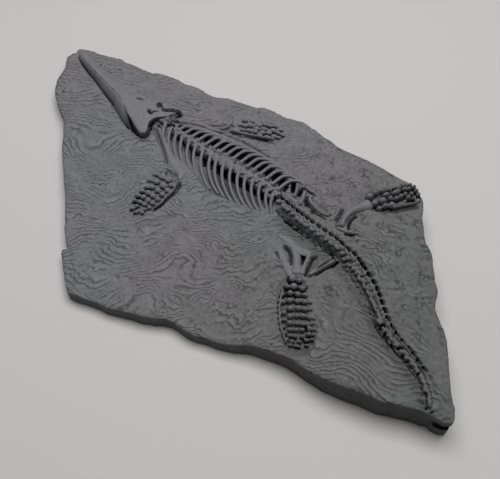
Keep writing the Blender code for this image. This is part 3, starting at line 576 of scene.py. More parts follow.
def hollows(x, y, depth):
    """Depth of everything hollowed out of the stone, and the painted shade in it (0 to 1)."""
    cut, dark = rib_bed(x, y, depth), flank_painted_shade(x, y)
    middles = []
    for low, high, half in UPPER_HOLES:
        line = ((low[0], low[1] + half), (high[0], high[1] - half))
        cut = np.maximum(cut, HOLE_DEPTH * stroke(x, y, line, 0.5, half - 0.25))
        # Painted shade: each hole between the upper ribs is painted dark
        dark = np.maximum(dark, stroke(x, y, line, 0.45, half - 0.1))
        middles.append(((low[0] + high[0]) / 2, (low[1] + high[1]) / 2))
    row = middles[:len(UPPER_RIB_FEET)]
    # Painted shade along the row the upper holes stand in
    dark = np.maximum(dark, 0.9 * stroke(x, y, row, 0.5, 0.9))
    strokes = [(row, 0.6, 0.7, HOLE_ROW_DEPTH), *tail_pits()]
    strokes += [(line, 0.5, 0.5 * width, SKULL_GAP_DEPTH) for line, width, _ in SKULL_OPENINGS[:2]]
    strokes += [(line, width, 0.25 * width, deep) for line, width, deep in SLITS]
    strokes += [(line, 0.9, half - 0.6, deep) for line, half, deep in PADDLE_BEDS]
    for line, width, flat, deep in strokes:
        cut = np.maximum(cut, deep * stroke(x, y, line, width, flat))
    dents = smooth((swell(x, y, 1.7, 51) - 0.85) / 0.4) * smooth(1 - cut)
    dents = dents * smooth(0.7 + 0.7 * swell(x, y, 11.0, 52))
    # The painted shade is a quarter of each depth, with a little in the small dents
    return cut + DENT_DEPTH * dents, np.maximum(np.maximum(dark, cut / 4), 0.14 * dents)


def crumbled(x, y):
    """How cracked the worn stone is, 0 to 1: behind the backbone, and beside the tail."""
    away = y - read(SPINE_LINE, x)
    behind = smooth((x + 10) / 20) * smooth((away - 2.5) / 4) * smooth((88 - x) / 10)
    where = np.maximum(behind, mound(x, y, (50, 4), (11, 6)))
    return where * smooth((swell(x, y, 8.0, 62) + 0.3) / 0.5)


def stone(x, y):
    """Height of the stone without its small hills, its layers and its hollows."""
    across = x * math.cos(THICKENS_TOWARDS) + y * math.sin(THICKENS_TOWARDS)
    ramp = SLAB_THIN + (SLAB_THICK - SLAB_THIN) * smooth((across - THICKENS_FROM) / THICKENS_OVER)
    waves = WAVE_HEIGHT * np.sin(WAVE_TURNS[0] * x) * np.sin(WAVE_TURNS[1] * y)
    from_edge = y - read(LEDGE_BORDER, x)
    ledge = LEDGE_DROP * (1 - smooth((from_edge - LEDGE_WIDTH) / LEDGE_SLOPE))
    ledge = ledge * smooth((x - LEDGE_FROM) / 3) * smooth((LEDGE_TO - x) / 3)
    tip = TIP_DROP * smooth((x - TIP_FROM) / TIP_RUN) * smooth((TIP_EDGE - y) / TIP_SIDE_RUN)
    side = y - read(SPINE_LINE, x)
    width = read(TAIL_STEP_WIDTH, x)
    up = smooth((side + width) / (width + 0.3))
    raised = TAIL_RAISED * up * (1 - smooth((side - 4) / 22))
    sunk = TAIL_SUNK * (1 - up) * (1 - smooth((-side - width - 0.6) / 5))
    fade = smooth((x - 6) / 8) * smooth((97 - x) / 6)
    return ramp + waves - ledge - tip + fade * (raised - sunk)


def hills(x, y):
    """Low hills of the stone, longer across the light than along it, and its grit."""
    grit = 0.055 * swell(x, y, 1.9, 41) + 0.05 * swell(x, y, 1.35, 42)
    rough = 0.45 + 0.55 * smooth(0.5 + 0.6 * swell(x, y, 12.0, 43))
    low = 0.34 * swell(x, y, 24.0, 3, HILLS_HEADING, 1.1)
    return low + 0.08 * swell(x, y, 3.4, 8, HILLS_HEADING, 1.2) + rough * grit


def bedding(x, y):
    """A value whose whole steps are the layers of the stone where they come to the surface."""
    calm = 1 - 0.6 * smooth((x - 55) / 12) - 0.35 * smooth((15 - x) / 12)
    u, v = x, y
    for length, reach, seed in ((9.0, 0.6, 5), (5.0, 0.42, 6), (2.6, 0.24, 7)):
        u = u + calm * reach * swell(x, y, length, seed)
        v = v + calm * reach * swell(x, y, length, seed + 10)
    value = (AWAY[0] * u + AWAY[1] * v) / LAYER_PITCH + 1.1 * swell(x, y, 26.0, 25)
    towards_tail = 0.866 * u + 0.5 * v - 45
    value = value + 0.3 * np.logaddexp(0, towards_tail / 4) * 4
    for place, reach, turn, tall in RINGS:
        value = value + tall * mound(u, v, place, reach, turn)
    return value


def presence(x, y):
    """How clearly the layers show: 1 in full, 0 where the stone is worn smooth."""
    tail = smooth((x - 52) / 10)
    spine = read(SPINE_LINE, x)
    worn = 0.85 * smooth((y - spine - 9 + 8 * tail) / (11 - 7 * tail))
    worn = worn + 1.1 * mound(x, y, (52, 3), (11, 6))
    strong = 0.35 * smooth((x - 40) / 12) * smooth((spine - 5 - y) / 5)
    patchy = 0.55 * swell(x, y, 13.0, 33) + 0.14 * swell(x, y, 5.0, 31)
    full = 0.94 + 0.06 * smooth((x - 25) / 20) - 0.3 * smooth((-46 - x) / 8) * smooth((y - 8) / 4)
    return full * smooth(0.8 + strong - worn + patchy)


class FossilStoneSettings(bpy.types.PropertyGroup):
    cells_along: bpy.props.IntProperty(
        name="Cells along", description="Cells of the upper side from the snout to the tail",
        default=340)
    cells_across: bpy.props.IntProperty(
        name="Cells across", description="Cells of the upper side across the slab", default=262)
    bed_depth: bpy.props.FloatProperty(
        name="Bed depth", description="Depth of the hollow under the ribs", default=3.2 * MM,
        unit="LENGTH", precision=5)
    wall_rings: bpy.props.IntProperty(
        name="Wall rings", description="Rows of faces down the broken edge", default=8)
    wall_roughness: bpy.props.FloatProperty(
        name="Wall roughness", description="How far the broken edge wanders", default=0.12 * MM,
        unit="LENGTH", precision=5)


class FossilBoneSettings(bpy.types.PropertyGroup):
    voxel: bpy.props.FloatProperty(
        name="Blend size", description="Detail kept where lumps of bone are blended",
        default=0.22 * MM, unit="LENGTH", precision=5)
    rib_radius: bpy.props.FloatProperty(
        name="Rib radius", description="Half the thickness of a rib beside the backbone",
        default=0.64 * MM, unit="LENGTH", precision=5)
    rib_tip_radius: bpy.props.FloatProperty(
        name="Rib tip radius", description="Half the thickness of a rib at its end",
        default=0.46 * MM, unit="LENGTH", precision=5)


class FossilFinishSettings(bpy.types.PropertyGroup):
    stone_color: bpy.props.FloatVectorProperty(
        name="Stone", description="Colour of the shale", subtype="COLOR", size=3, min=0, max=1,
        default=(0.165, 0.163, 0.169))
    bone_color: bpy.props.FloatVectorProperty(
        name="Bone", description="Colour of the bones", subtype="COLOR", size=3, min=0, max=1,
        default=(0.174, 0.172, 0.179))
    roughness: bpy.props.FloatProperty(
        name="Roughness", description="How dull the surfaces are", default=0.78, min=0, max=1,
        subtype="FACTOR")


class FossilStageSettings(bpy.types.PropertyGroup):
    floor_color: bpy.props.FloatVectorProperty(
        name="Floor", description="Colour of the floor", subtype="COLOR", size=3, min=0, max=1,
        default=(0.56, 0.537, 0.528))
    key_power: bpy.props.FloatProperty(
        name="Key light", description="Power of the large light above the slab", default=3.9,
        unit="POWER")
    fill_power: bpy.props.FloatProperty(
        name="Sky", description="Strength of the even light from all around", default=0.10)
    lens: bpy.props.FloatProperty(
        name="Lens", description="Focal length of the camera", default=50.0,
        subtype="DISTANCE_CAMERA")


def placed(name, data):
    """A new object in the scene."""
    thing = bpy.data.objects.new(name, data)
    bpy.context.scene.collection.objects.link(thing)
    return thing


def link(name, mesh, finish, nodes):
    """Makes the object of a finished mesh, attaches it to the body, and hides the solids it stands
    for.
    """
    piece = placed(name, mesh)
    mesh.materials.clear()
    mesh.materials.append(finish)
    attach(piece, BODY)
    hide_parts(*nodes)


def to_mesh(bm, name):
    """A mesh of a bmesh in millimetres, turned into metres."""
    bmesh.ops.scale(bm, vec=(MM, MM, MM), verts=bm.verts)
    mesh = bpy.data.meshes.new(name)
    bm.to_mesh(mesh)
    bm.free()
    mesh.polygons.foreach_set("use_smooth", [True] * len(mesh.polygons))
    mesh.update()
    return mesh


def grid(places, heights, shades):
    """A bmesh grid with these plan places and heights, and the named values at its points."""
    cells = places.shape[0] - 1, places.shape[1] - 1
    bm = bmesh.new()
    layers = {name: bm.verts.layers.float.new(name) for name in shades}
    bmesh.ops.create_grid(bm, x_segments=cells[0], y_segments=cells[1], size=0.5)
    for vert in bm.verts:
        i, j = round((vert.co.x + 0.5) * cells[0]), round((vert.co.y + 0.5) * cells[1])
        vert.co = (*places[i, j], heights[i, j])
        for name, values in shades.items():
            vert[layers[name]] = values[i, j]
    return bm, layers


def drawn_out(bm, rim):
    """A row of faces added along a rim of edges: its new rim, and the verts on it."""
    out = bmesh.ops.extrude_edge_only(bm, edges=rim)["geom"]
    edges = [item for item in out if isinstance(item, bmesh.types.BMEdge)]
    verts = [item for item in out if isinstance(item, bmesh.types.BMVert)]
    return edges, verts


def closed(bm, rim, name):
    """The mesh of a bmesh whose open rim gets an underside."""
    bmesh.ops.contextual_create(bm, geom=rim)
    bmesh.ops.recalc_face_normals(bm, faces=bm.faces)
    return to_mesh(bm, name)


def lump(bm, place, size, heading=0.0):
    """An egg shape: half its length along the heading, half its width and half its height."""
    matrix = (Matrix.Translation(place) @ Matrix.Rotation(math.radians(heading), 4, "Z")
              @ Matrix.Diagonal((*size, 1.0)))
    bmesh.ops.create_icosphere(bm, subdivisions=2, radius=1.0, matrix=matrix)


def strap(bm, line, widths, tall):
    """A smooth low bone along a line on the stone, with half widths and a height above it."""
    length = np.linalg.norm(np.diff(np.array(line, float), axis=0), axis=1).sum()
    steps = max(4, int(length / LUMP_EVERY))
    curve = flowing(line, steps)
    wide = np.interp(np.linspace(0, 1, steps), np.linspace(0, 1, len(widths)), widths)
    lean = np.gradient(curve, axis=0)
    for (x, y), half, (dx, dy) in zip(curve, wide, lean):
        lump(bm, (x, y, stone(x, y) - 0.5 * tall), (0.9, 1.06 * half, 1.5 * tall),
             math.degrees(math.atan2(dy, dx)))


def pavement(bm, bones, edge, heading, tall, long_by, wide_by):
    """The small bones of a paddle on a low bed that joins them, with a bar along its edge."""
    for x, y, long, wide in bones:
        base = stone(x, y) + max(hills(x, y), 0.0)
        top = tall * min(1.0, 0.55 + 0.55 * wide)
        lump(bm, (x, y, base + 0.1 * top), (long_by * long, wide_by * wide, 0.9 * top), heading)
        lump(bm, (x, y, base - 1.0), (1.4 * long, 1.5 * wide, 0.5), heading)
    strap(bm, edge, (0.34, 0.34), 0.75 * tall)


def blended(bm, name, voxel, low, span):
    """Lumps that overlap, blended into one closed skin, with painted shade that darkens it over a
    span below low.
    """
    mesh = bpy.data.meshes.new(name)
    bm.to_mesh(mesh)
    bm.free()
    helper = placed(name, mesh)
    remesh = helper.modifiers.new("Blend", "REMESH")
    remesh.mode = "VOXEL"
    remesh.voxel_size = voxel
    skin = bpy.data.meshes.new_from_object(
        helper.evaluated_get(bpy.context.evaluated_depsgraph_get()))
    bpy.data.objects.remove(helper)
    bpy.data.meshes.remove(mesh)
    soft = bmesh.new()
    soft.from_mesh(skin)
    bpy.data.meshes.remove(skin)
    for _ in range(SMOOTHINGS):
        bmesh.ops.smooth_vert(soft, verts=soft.verts, factor=0.5, use_axis_x=True,
                              use_axis_y=True, use_axis_z=True)
    places = np.array([vert.co for vert in soft.verts])
    rise = places[:, 2] - stone(places[:, 0], places[:, 1])
    # Painted shade, kept as "depth": darker where the skin lies less than low above the stone
    depth = soft.verts.layers.float.new("depth")
    for vert, shade in zip(soft.verts, smooth((low - rise) / span)):
        vert[depth] = shade
    return to_mesh(soft, name)


def tube(name, points, radii):
    """A closed round tube through the points, with domed ends."""
    bm = bmesh.new()
    points = np.array(points, float)
    tangents = np.gradient(points, axis=0)
    ring = bmesh.ops.create_circle(bm, cap_ends=True, radius=1.0, segments=RIB_SIDES)["verts"]
    face = ring[0].link_faces[0]
    local = [vert.co.copy() for vert in face.verts]

    def settle(face, place, tangent, radius):
        side = Vector((-tangent[1], tangent[0], 0.0)).normalized()
        up = Vector(tangent).cross(side).normalized()
        for vert, spot in zip(face.verts, local):
            vert.co = Vector(place) + (side * spot.x + up * spot.y) * float(radius)

    def dome(end, outwards):
        beyond = outwards * tangents[end] / np.linalg.norm(tangents[end]) * radii[end] * 0.5
        return points[end] + beyond, tangents[end], radii[end] * RIB_DOME

    settle(face, *dome(0, -1))
    for station in (*zip(points, tangents, radii), dome(-1, 1)):
        face = bmesh.ops.extrude_discrete_faces(bm, faces=[face])["faces"][0]
        settle(face, *station)
    bmesh.ops.recalc_face_normals(bm, faces=bm.faces)
    return to_mesh(bm, name)


def relief(name, places, heights, edge, undercut, shade):
    """A bone modelled as a grid, its edge going down and cut back below, with an underside."""
    # The shade given is painted shade, kept as "depth" at the points
    bm, _ = grid(places, heights, {"depth": np.minimum(1.0, shade)})
    inward = {}
    for vert in bm.verts:
        if vert.is_boundary:
            middle = sum((face.calc_center_median() for face in vert.link_faces), Vector())
            away = middle / len(vert.link_faces) - vert.co
            inward[tuple(vert.co)[:2]] = Vector((away.x, away.y, 0)).normalized()
    rim, verts = drawn_out(bm, [item for item in bm.edges if item.is_boundary])
    for vert in verts:
        vert.co.z -= edge
    rim, verts = drawn_out(bm, rim)
    for vert in verts:
        step = inward[tuple(vert.co)[:2]]
        ground = float(stone(vert.co.x, vert.co.y)) - SUNK_IN
        vert.co += step * undercut
        vert.co.z = min(ground, vert.co.z - 0.3)
    return closed(bm, rim, name)


class Surface:
    """A material in the making: each step adds a node and gives what comes out of it."""

    def __init__(self, name, roughness):
        self.finish = bpy.data.materials.new(name)
        self.finish.use_nodes = True
        self.nodes, self.links = self.finish.node_tree.nodes, self.finish.node_tree.links
        self.shader = self.nodes["Principled BSDF"]
        self.shader.inputs["Roughness"].default_value = roughness
        self.place = self.nodes.new("ShaderNodeTexCoord").outputs["Object"]
        apart = self.nodes.new("ShaderNodeSeparateXYZ")
        self.feed(apart, {"Vector": self.place})
        self.lengthwise = apart.outputs["X"]

    def feed(self, node, values):
        """Gives inputs of a node a number, or joins them to what comes out of another node."""
        for key, value in values.items():
            if isinstance(value, (int, float)):
                node.inputs[key].default_value = value
            else:
                self.links.new(value, node.inputs[key])

    def noise(self, scale, detail):
        """A cloudy pattern, finer for a larger scale."""
        node = self.nodes.new("ShaderNodeTexNoise")
        self.feed(node, {"Vector": self.place, "Scale": scale, "Detail": detail})
        return node.outputs["Fac"]

    def stored(self, name):
        """The values kept under this name at the points of the mesh."""
        node = self.nodes.new("ShaderNodeAttribute")
        node.attribute_name = name
        return node.outputs["Fac"]

    def maths(self, kind, *values):
        """A sum, a product or the like of numbers and other results."""
        node = self.nodes.new("ShaderNodeMath")
        node.operation = kind
        self.feed(node, dict(enumerate(values)))
        return node.outputs["Value"]

    def spread(self, value, low, high, first, last):
        """A value running from first to last while another runs from low to high."""
        node = self.nodes.new("ShaderNodeMapRange")
        self.feed(node, {"Value": value, "From Min": low, "From Max": high,
                         "To Min": first, "To Max": last})
        return node.outputs["Result"]

    def ramp(self, value, stops):
        """Colours picked by a value; a single number stands for a grey."""
        node = self.nodes.new("ShaderNodeValToRGB")
        elements = node.color_ramp.elements
        while len(elements) < len(stops):
            elements.new(0.5)
        for element, (position, color) in zip(elements, stops):
            grey = isinstance(color, (int, float))
            element.position = position
            element.color = (color, color, color, 1.0) if grey else (*color, 1.0)
        self.feed(node, {"Fac": value})
        return node.outputs["Color"]

    def mixed(self, kind, amount, first, second):
        """Two colours mixed or multiplied."""
        node = self.nodes.new("ShaderNodeMix")
        node.data_type = "RGBA"
        node.blend_type = kind
        self.feed(node, {0: amount, 6: first, 7: second})
        return node.outputs[2]

    def finished(self, color, shine, height, strength, distance):
        """The material with its colour, its shine and a bump of this height."""
        bump = self.nodes.new("ShaderNodeBump")
        self.feed(bump, {"Strength": strength, "Distance": distance, "Height": height})
        self.feed(self.shader, {"Base Color": color, "Specular IOR Level": shine,
                                "Normal": bump.outputs["Normal"]})
        return self.finish


def stone_finish(name, settings):
    """Dull dark shale: a fine dark line of painted shade where each layer ends, with a painted
    highlight beside it, cracks where it is worn, and painted shade in hollows.
    """
    surface = Surface(name, settings.roughness)
    noise, maths, ramp, mixed = surface.noise, surface.maths, surface.ramp, surface.mixed
    warm = [c * f for c, f in zip(settings.stone_color, (1.03, 0.985, 1.0))]
    cool = [c * f for c, f in zip(settings.stone_color, (0.955, 1.0, 0.985))]
    color = ramp(noise(26.0, 2.0), ((0.35, cool), (0.65, warm)))
    towards_tail = maths("MULTIPLY_ADD", surface.lengthwise, 8.0, 0.2)
    for value, stops in (
            (towards_tail, ((0.15, 0.99), (0.58, (0.77, 0.785, 0.76)),
                            (0.85, (0.695, 0.715, 0.69)))),
            (noise(700.0, 3.0), ((0.32, 0.84), (0.5, 1.0), (0.68, 1.11))),
            (noise(190.0, 3.0), ((0.3, 0.92), (0.7, 1.08))),
            (noise(430.0, 2.0), ((0.3, 0.68), (0.37, 1.0)))):
        color = mixed("MULTIPLY", 1.0, color, ramp(value, stops))

    clear = surface.stored("contours")
    wander = maths("MULTIPLY_ADD", noise(900.0, 2.0), 0.3, surface.stored("strata"))
    share = maths("FRACT", wander)
    # Painted shade: a dark line at the step where each layer ends
    line = ramp(share, ((0.0, 0), (0.03, 0), (0.14, 1), (0.3, 0.45), (0.4, 0)))
    # Painted highlight: a pale band on the rim of each step, just past the dark line
    worn = ramp(share, ((0.3, 0), (0.42, 1), (0.7, 0)))
    aside = maths("ABSOLUTE", maths("SUBTRACT", noise(330.0, 3.0), 0.5))
    crack = maths("MULTIPLY", surface.stored("flaws"),
                  ramp(aside, ((0.0, 1), (0.02, 0.9), (0.042, 0))))
    # Mixed in: the painted highlight on each step's rim, the painted shade of each step's dark line,
    # and the dark cracks
    for pattern, amount, scale, stops in (
            (maths("MULTIPLY", worn, clear), 0.4, 500.0,
             ((0.4, (0.21, 0.21, 0.212)), (0.6, (0.26, 0.26, 0.262)))),
            (maths("MULTIPLY", line, clear), 0.82, 300.0,
             ((0.4, (0.035, 0.035, 0.036)), (0.6, 0.05))),
            (crack, 0.85, 260.0, ((0.44, 0.035), (0.62, 0.13)))):
        color = mixed("MIX", maths("MULTIPLY", pattern, amount), color,
                      ramp(noise(scale, 1.0), stops))

    # Painted shade from the stored "depth" values: darker in hollows, slits and holes, on the broken
    # edge and in the crack, with less shine there
    painted_shade = ramp(surface.stored("depth"), ((0.03, 1), (0.18, 0.72), (0.42, 0.3), (0.7, 0.06)))
    step = maths("MULTIPLY", ramp(share, ((0.0, 0), (0.3, 1))), clear)
    height = maths("SUBTRACT", maths("ADD", step, noise(1300.0, 3.0)), crack)
    return surface.finished(mixed("MULTIPLY", 1.0, color, painted_shade), maths("MULTIPLY", painted_shade, 0.3),
                            height, 0.8, 0.6 * LAYER * MM)


def bone_finish(name, settings):
    """Bone turned to stone: a little smoother and lighter than the shale, with painted shade where
    it lies low.
    """
    surface = Surface(name, settings.roughness - 0.05)
    grain = surface.noise(900.0, 4.0)
    dark = [c * 0.88 for c in settings.bone_color]
    light = [min(1.0, c * 1.1) for c in settings.bone_color]
    # Painted shade from the stored "depth" values, darker in gaps, openings and under the skull's
    # roof, with less shine there
    painted_shade = surface.spread(surface.stored("depth"), 0.0, 1.0, 1.0, 0.04)
    towards_tail = surface.spread(surface.lengthwise, 0.01, 0.075, 1.0, 0.8)
    darker = surface.nodes.new("ShaderNodeVectorMath")
    darker.operation = "SCALE"
    surface.feed(darker, {0: surface.ramp(grain, ((0.3, dark), (0.7, light))),
                          "Scale": surface.maths("MULTIPLY", painted_shade, towards_tail)})
    return surface.finished(darker.outputs["Vector"], surface.maths("MULTIPLY", painted_shade, 0.35),
                            grain, 0.3, 0.05 * MM)


def finish_of(name, make):
    """A material made once and shared."""
    return bpy.data.materials.get(name) or make(name, bpy.context.scene.fossil_finish)


def shale():
    """The material of the stone."""
    return finish_of("shale", stone_finish)


def bone():
    """The material of the bones."""
    return finish_of("fossil_bone_surface", bone_finish)


class FOSSIL_OT_slab(bpy.types.Operator):
    """Model the slab: a layered upper side, a broken edge and a flat underside"""
    bl_idname = "fossil.slab"
    bl_label = "Slab"

    def execute(self, context):
        stone_settings = context.scene.fossil_stone
        cells = stone_settings.cells_across, stone_settings.cells_along
        places = patch(WEST_BORDER, EAST_BORDER, NORTH_BORDER, SOUTH_BORDER, cells)
        x, y = places[:, :, 0], places[:, :, 1]
        level = bedding(x, y)
        share = level - np.floor(level)
        cut, dark = hollows(x, y, stone_settings.bed_depth / MM)
        clear = 1 - smooth(cut / 0.6)
        shown = clear * presence(x, y)
        steps = shown * LAYER * STEP * (smooth(share / 0.3) - share)
        heights = stone(x, y) + hills(x, y) + steps - cut
        row, column = np.indices(x.shape)
        from_rim = np.minimum.reduce([row, row[::-1], column, column[:, ::-1]])
        heights = heights - RIM_WORN * (1 - smooth(from_rim / RIM_CELLS))
        # The values kept as "depth" are painted shade, read by the shale's finish
        bm, layers = grid(places, heights, {
            "strata": level, "contours": shown, "depth": np.minimum(1.0, dark),
            "flaws": crumbled(x, y) * clear})

        rings = stone_settings.wall_rings
        rough = stone_settings.wall_roughness / MM
        rim = [edge for edge in bm.edges if edge.is_boundary]
        for ring in range(1, rings + 1):
            rim, verts = drawn_out(bm, rim)
            for vert in verts:
                x0, y0, z0 = vert.co
                vert[layers["contours"]] = 0.0
                vert[layers["flaws"]] = 0.0
                # Painted shade on the broken edge
                vert[layers["depth"]] = WALL_PAINTED_SHADE
                vert.co.z = z0 * (rings - ring) / (rings - ring + 1)
                outwards = Vector((x0, y0, 0.0)).normalized()
                wander = rough * float(swell(x0 + 0.7 * z0, y0 - 0.4 * z0, 5.0, 21))
                vert.co += outwards * wander / rings
                if y0 < CRACK_EDGE and ring in (CRACK_IN, CRACK_OUT):
                    inwards = CRACK_DEPTH * float(smooth((x0 - CRACK_FROM) / CRACK_RUN))
                    vert.co += Vector(AWAY) * (inwards if ring == CRACK_IN else -inwards)
                    if ring == CRACK_OUT and inwards > 0.8 * CRACK_DEPTH:
                        # Deeper painted shade in the crack
                        vert[layers["depth"]] = CRACK_PAINTED_SHADE
        mesh = closed(bm, rim, "shale_slab")
        link("shale_slab", mesh, shale(), ["slab"])
        return {"FINISHED"}


def spine_heading(x):
    """The way the backbone runs at a place, in degrees."""
    return math.degrees(math.atan2(read(SPINE_LINE, x + 1) - read(SPINE_LINE, x - 1), 2))


class FOSSIL_OT_backbone(bpy.types.Operator):
    """Model the backbone: vertebrae with a crest and a process on either side"""
    bl_idname = "fossil.backbone"
    bl_label = "Backbone"

    def execute(self, context):
        bm = bmesh.new()
        rng = np.random.default_rng(4)

        def bump(x, y, top, long, wide, deep, heading=0.0, level=None):
            dx, dy = rng.uniform(-0.12, 0.12), rng.uniform(-0.12, 0.12)
            size = rng.uniform(0.88, 1.12)
            ground = stone(x, y) if level is None else level
            lump(bm, (x + dx, y + dy, ground + top - deep), (long * size, wide * size, deep),
                 heading)

        for x, following in zip(UPPER_RIB_FEET, (*UPPER_RIB_FEET[1:], LAST_UPPER_FOOT)):
            pitch = following - x
            y, tall = read(SPINE_LINE, x), read(SPINE_HEIGHT, x) / FULL_HEIGHT
            upper, lower = read(SPINE_UPPER_WIDTH, x), read(SPINE_LOWER_WIDTH, x)
            bump(x, y + 0.45 * (upper - lower), 0.75 * tall, 0.66 * pitch, 0.48 * (upper + lower),
                 1.6)
            bump(x + 0.5 * pitch, y + 0.3 * upper, 0.75 * tall, 0.6 * pitch, 0.6 * upper, 1.6)
            bump(x - 0.3 * pitch, y + 0.5 * upper, 1.7 * tall, 0.26 * pitch, 0.5, 0.8, 35)
            bump(x + 0.2 * pitch, y - 0.7, 1.7 * tall, 0.24 * pitch, 0.6, 0.8, -35)
            bump(x, y + 0.72 * upper, 1.75 * tall, 0.36 * pitch, 0.42 * upper, 1.2)
            bump(x + 0.1, y + 0.3, 2.2 * tall, 0.36 * pitch, 0.8, 0.8)
            bump(x + 0.5 * pitch, y + 0.9, 1.75 * tall, 0.24 * pitch, 0.6, 0.7)
            bump(x + 0.45 * pitch, y - 0.4, 1.9 * tall, 0.2 * pitch, 0.5, 0.6)
        for x in LOWER_RIB_FEET:
            y, tall = read(SPINE_LINE, x), read(SPINE_HEIGHT, x) / FULL_HEIGHT
            bump(x - 0.4, y - 1.2, 1.95 * tall, 0.9, 0.72, 0.9, -45)
            bump(x - 1.1, y - 0.3, 1.85 * tall, 0.55, 0.6, 0.8, -45)
            if x > -19:
                bump(x + 0.2, y - 2.0, 1.75 * tall, 0.95, 0.7, 1.0, -45)
                bump(x - 1.2, y - 1.9, 1.6 * tall, 0.8, 0.6, 0.9, 20)
        bump(-46.2, 10.6, 1.0, 3.2, 2.3, 1.6, 30)
        for x, y, radius in NECK_LUMPS:
            bump(x, y, 1.9, radius, 0.8 * radius, 1.6, 30)
        for (ax, ay), (bx, by) in zip(TAIL_PITS, TAIL_PITS[1:]):
            x, pitch = (ax + bx) / 2 + 0.2, bx - ax
            y, tall = read(SPINE_LINE, x), read(SPINE_HEIGHT, x) / FULL_HEIGHT
            width = read(TAIL_STEP_WIDTH, x)
            heading = spine_heading(x)
            level = stone(x, y + 2.0)
            bump(x, (ay + by) / 2, 0.3 * tall, 0.24 * pitch, 0.8, 1.6, heading, level)
            bump(x, y + 0.1, 1.0 * tall, 0.34 * pitch, 0.8 * tall, 1.6, heading, level)
            bump(ax + 0.2, read(SPINE_LINE, ax) - 0.2, 0.55 * tall, 0.36 * pitch,
                 0.7 * tall, 1.6, heading, level)
            row = 0.35 + 0.45 * width
            drop = stone(x, y - width - 0.6) - level
            loose = 0.12 + 0.28 * smooth((x - 58) / 6)
            if x < HIPS_AT:
                rows = ((0.5, 0.4, 0.6 * tall, 0.4), (1.5, 0.5, drop + 0.7, 0.55))
            else:
                rows = ((0.55, 0.42, 0.6 * tall, 0.38), (1.15, 0.36, 0.15 * tall, 0.36),
                        (1.7, 0.34, 0.6 * drop, 0.36), (2.1, 0.34, drop + 0.2, 0.36))
            for number, (share, wide, top, long) in enumerate(rows):
                place = ax if number % 2 == 0 else x
                bump(place + rng.uniform(-loose, loose) * pitch,
                     y - share * row + rng.uniform(-0.5, 0.5) * loose,
                     top + rng.uniform(-0.12, 0.18), long * pitch, wide * row, 1.2,
                     heading + rng.uniform(-25, 25), level)
                if x > LOOSE_FROM:
                    bump(x + rng.uniform(-0.4, 0.4) * pitch, y - (share + 0.2) * row, top - 0.2,
                         0.3 * pitch, wide * row, 1.2, heading + rng.uniform(-50, 50), level)
        for x in np.arange(TAIL_END_FROM, TAIL_END_TO, TAIL_END_PITCH):
            bump(x, read(SPINE_LINE, x) - 0.2, 0.55, 0.34, 1.2 - 0.04 * (x - TAIL_END_FROM), 1.2,
                 spine_heading(x) + rng.uniform(-20, 20))
        voxel = context.scene.fossil_bones.voxel / MM
        # Painted shade where the skin lies less than 1.35 mm above the stone
        mesh = blended(bm, "vertebrae", voxel, 1.35, 1.5)
        link("vertebrae", mesh, bone(), ["backbone"])
        return {"FINISHED"}


def rib(name, spots, radii):
    """One rib through places with heights above the stone, thinner towards its end."""
    line = flowing([(x, y, stone(x, y) + rise) for x, y, rise in spots], len(radii))
    link(name + "_bone", tube(name, line, radii), bone(), [name])


class FOSSIL_OT_ribs(bpy.types.Operator):
    """Model the ribs of both sides, one piece for each"""
    bl_idname = "fossil.ribs"
    bl_label = "Ribs"

    def execute(self, context):
        bones = context.scene.fossil_bones
        thick, thin = bones.rib_radius / MM, bones.rib_tip_radius / MM
        for index, x in enumerate(UPPER_RIB_FEET):
            foot = read(SPINE_LINE, x) + read(SPINE_UPPER_WIDTH, x)
            shoulder = read(SHOULDER_LINE, x)
            tail = 1.0 - 0.6 * index / (len(UPPER_RIB_FEET) - 1)
            spots = [(x, foot - 1.4, 1.5), (x, foot - 0.2, 1.35),
                     (x - 0.1, (foot + shoulder) / 2, 1.2), (x + 0.2, shoulder - 1.5, 0.8)]
            for run, over, rise in UPPER_RIB_BEND:
                reach = x + 0.3 + run * tail
                spots.append((reach, read(SHOULDER_LINE, reach) + over, rise))
            rib(f"upper_rib_{index + 1:02d}", spots, np.linspace(thick, thin, UPPER_STATIONS))
        for index, x in enumerate(LOWER_RIB_FEET):
            short = smooth((index - 9) / (len(LOWER_RIB_FEET) - 10))
            reach, drop = 14.5 - 7.0 * short, 7.0 - 2.6 * short
            foot = read(SPINE_LINE, x) - 1.7
            spots = [(x + reach * a, foot - drop * b, rise) for a, b, rise in LOWER_RIB_SHAPE]
            rib(f"lower_rib_{index + 1:02d}", spots, np.linspace(thick, thin, LOWER_STATIONS))
        return {"FINISHED"}


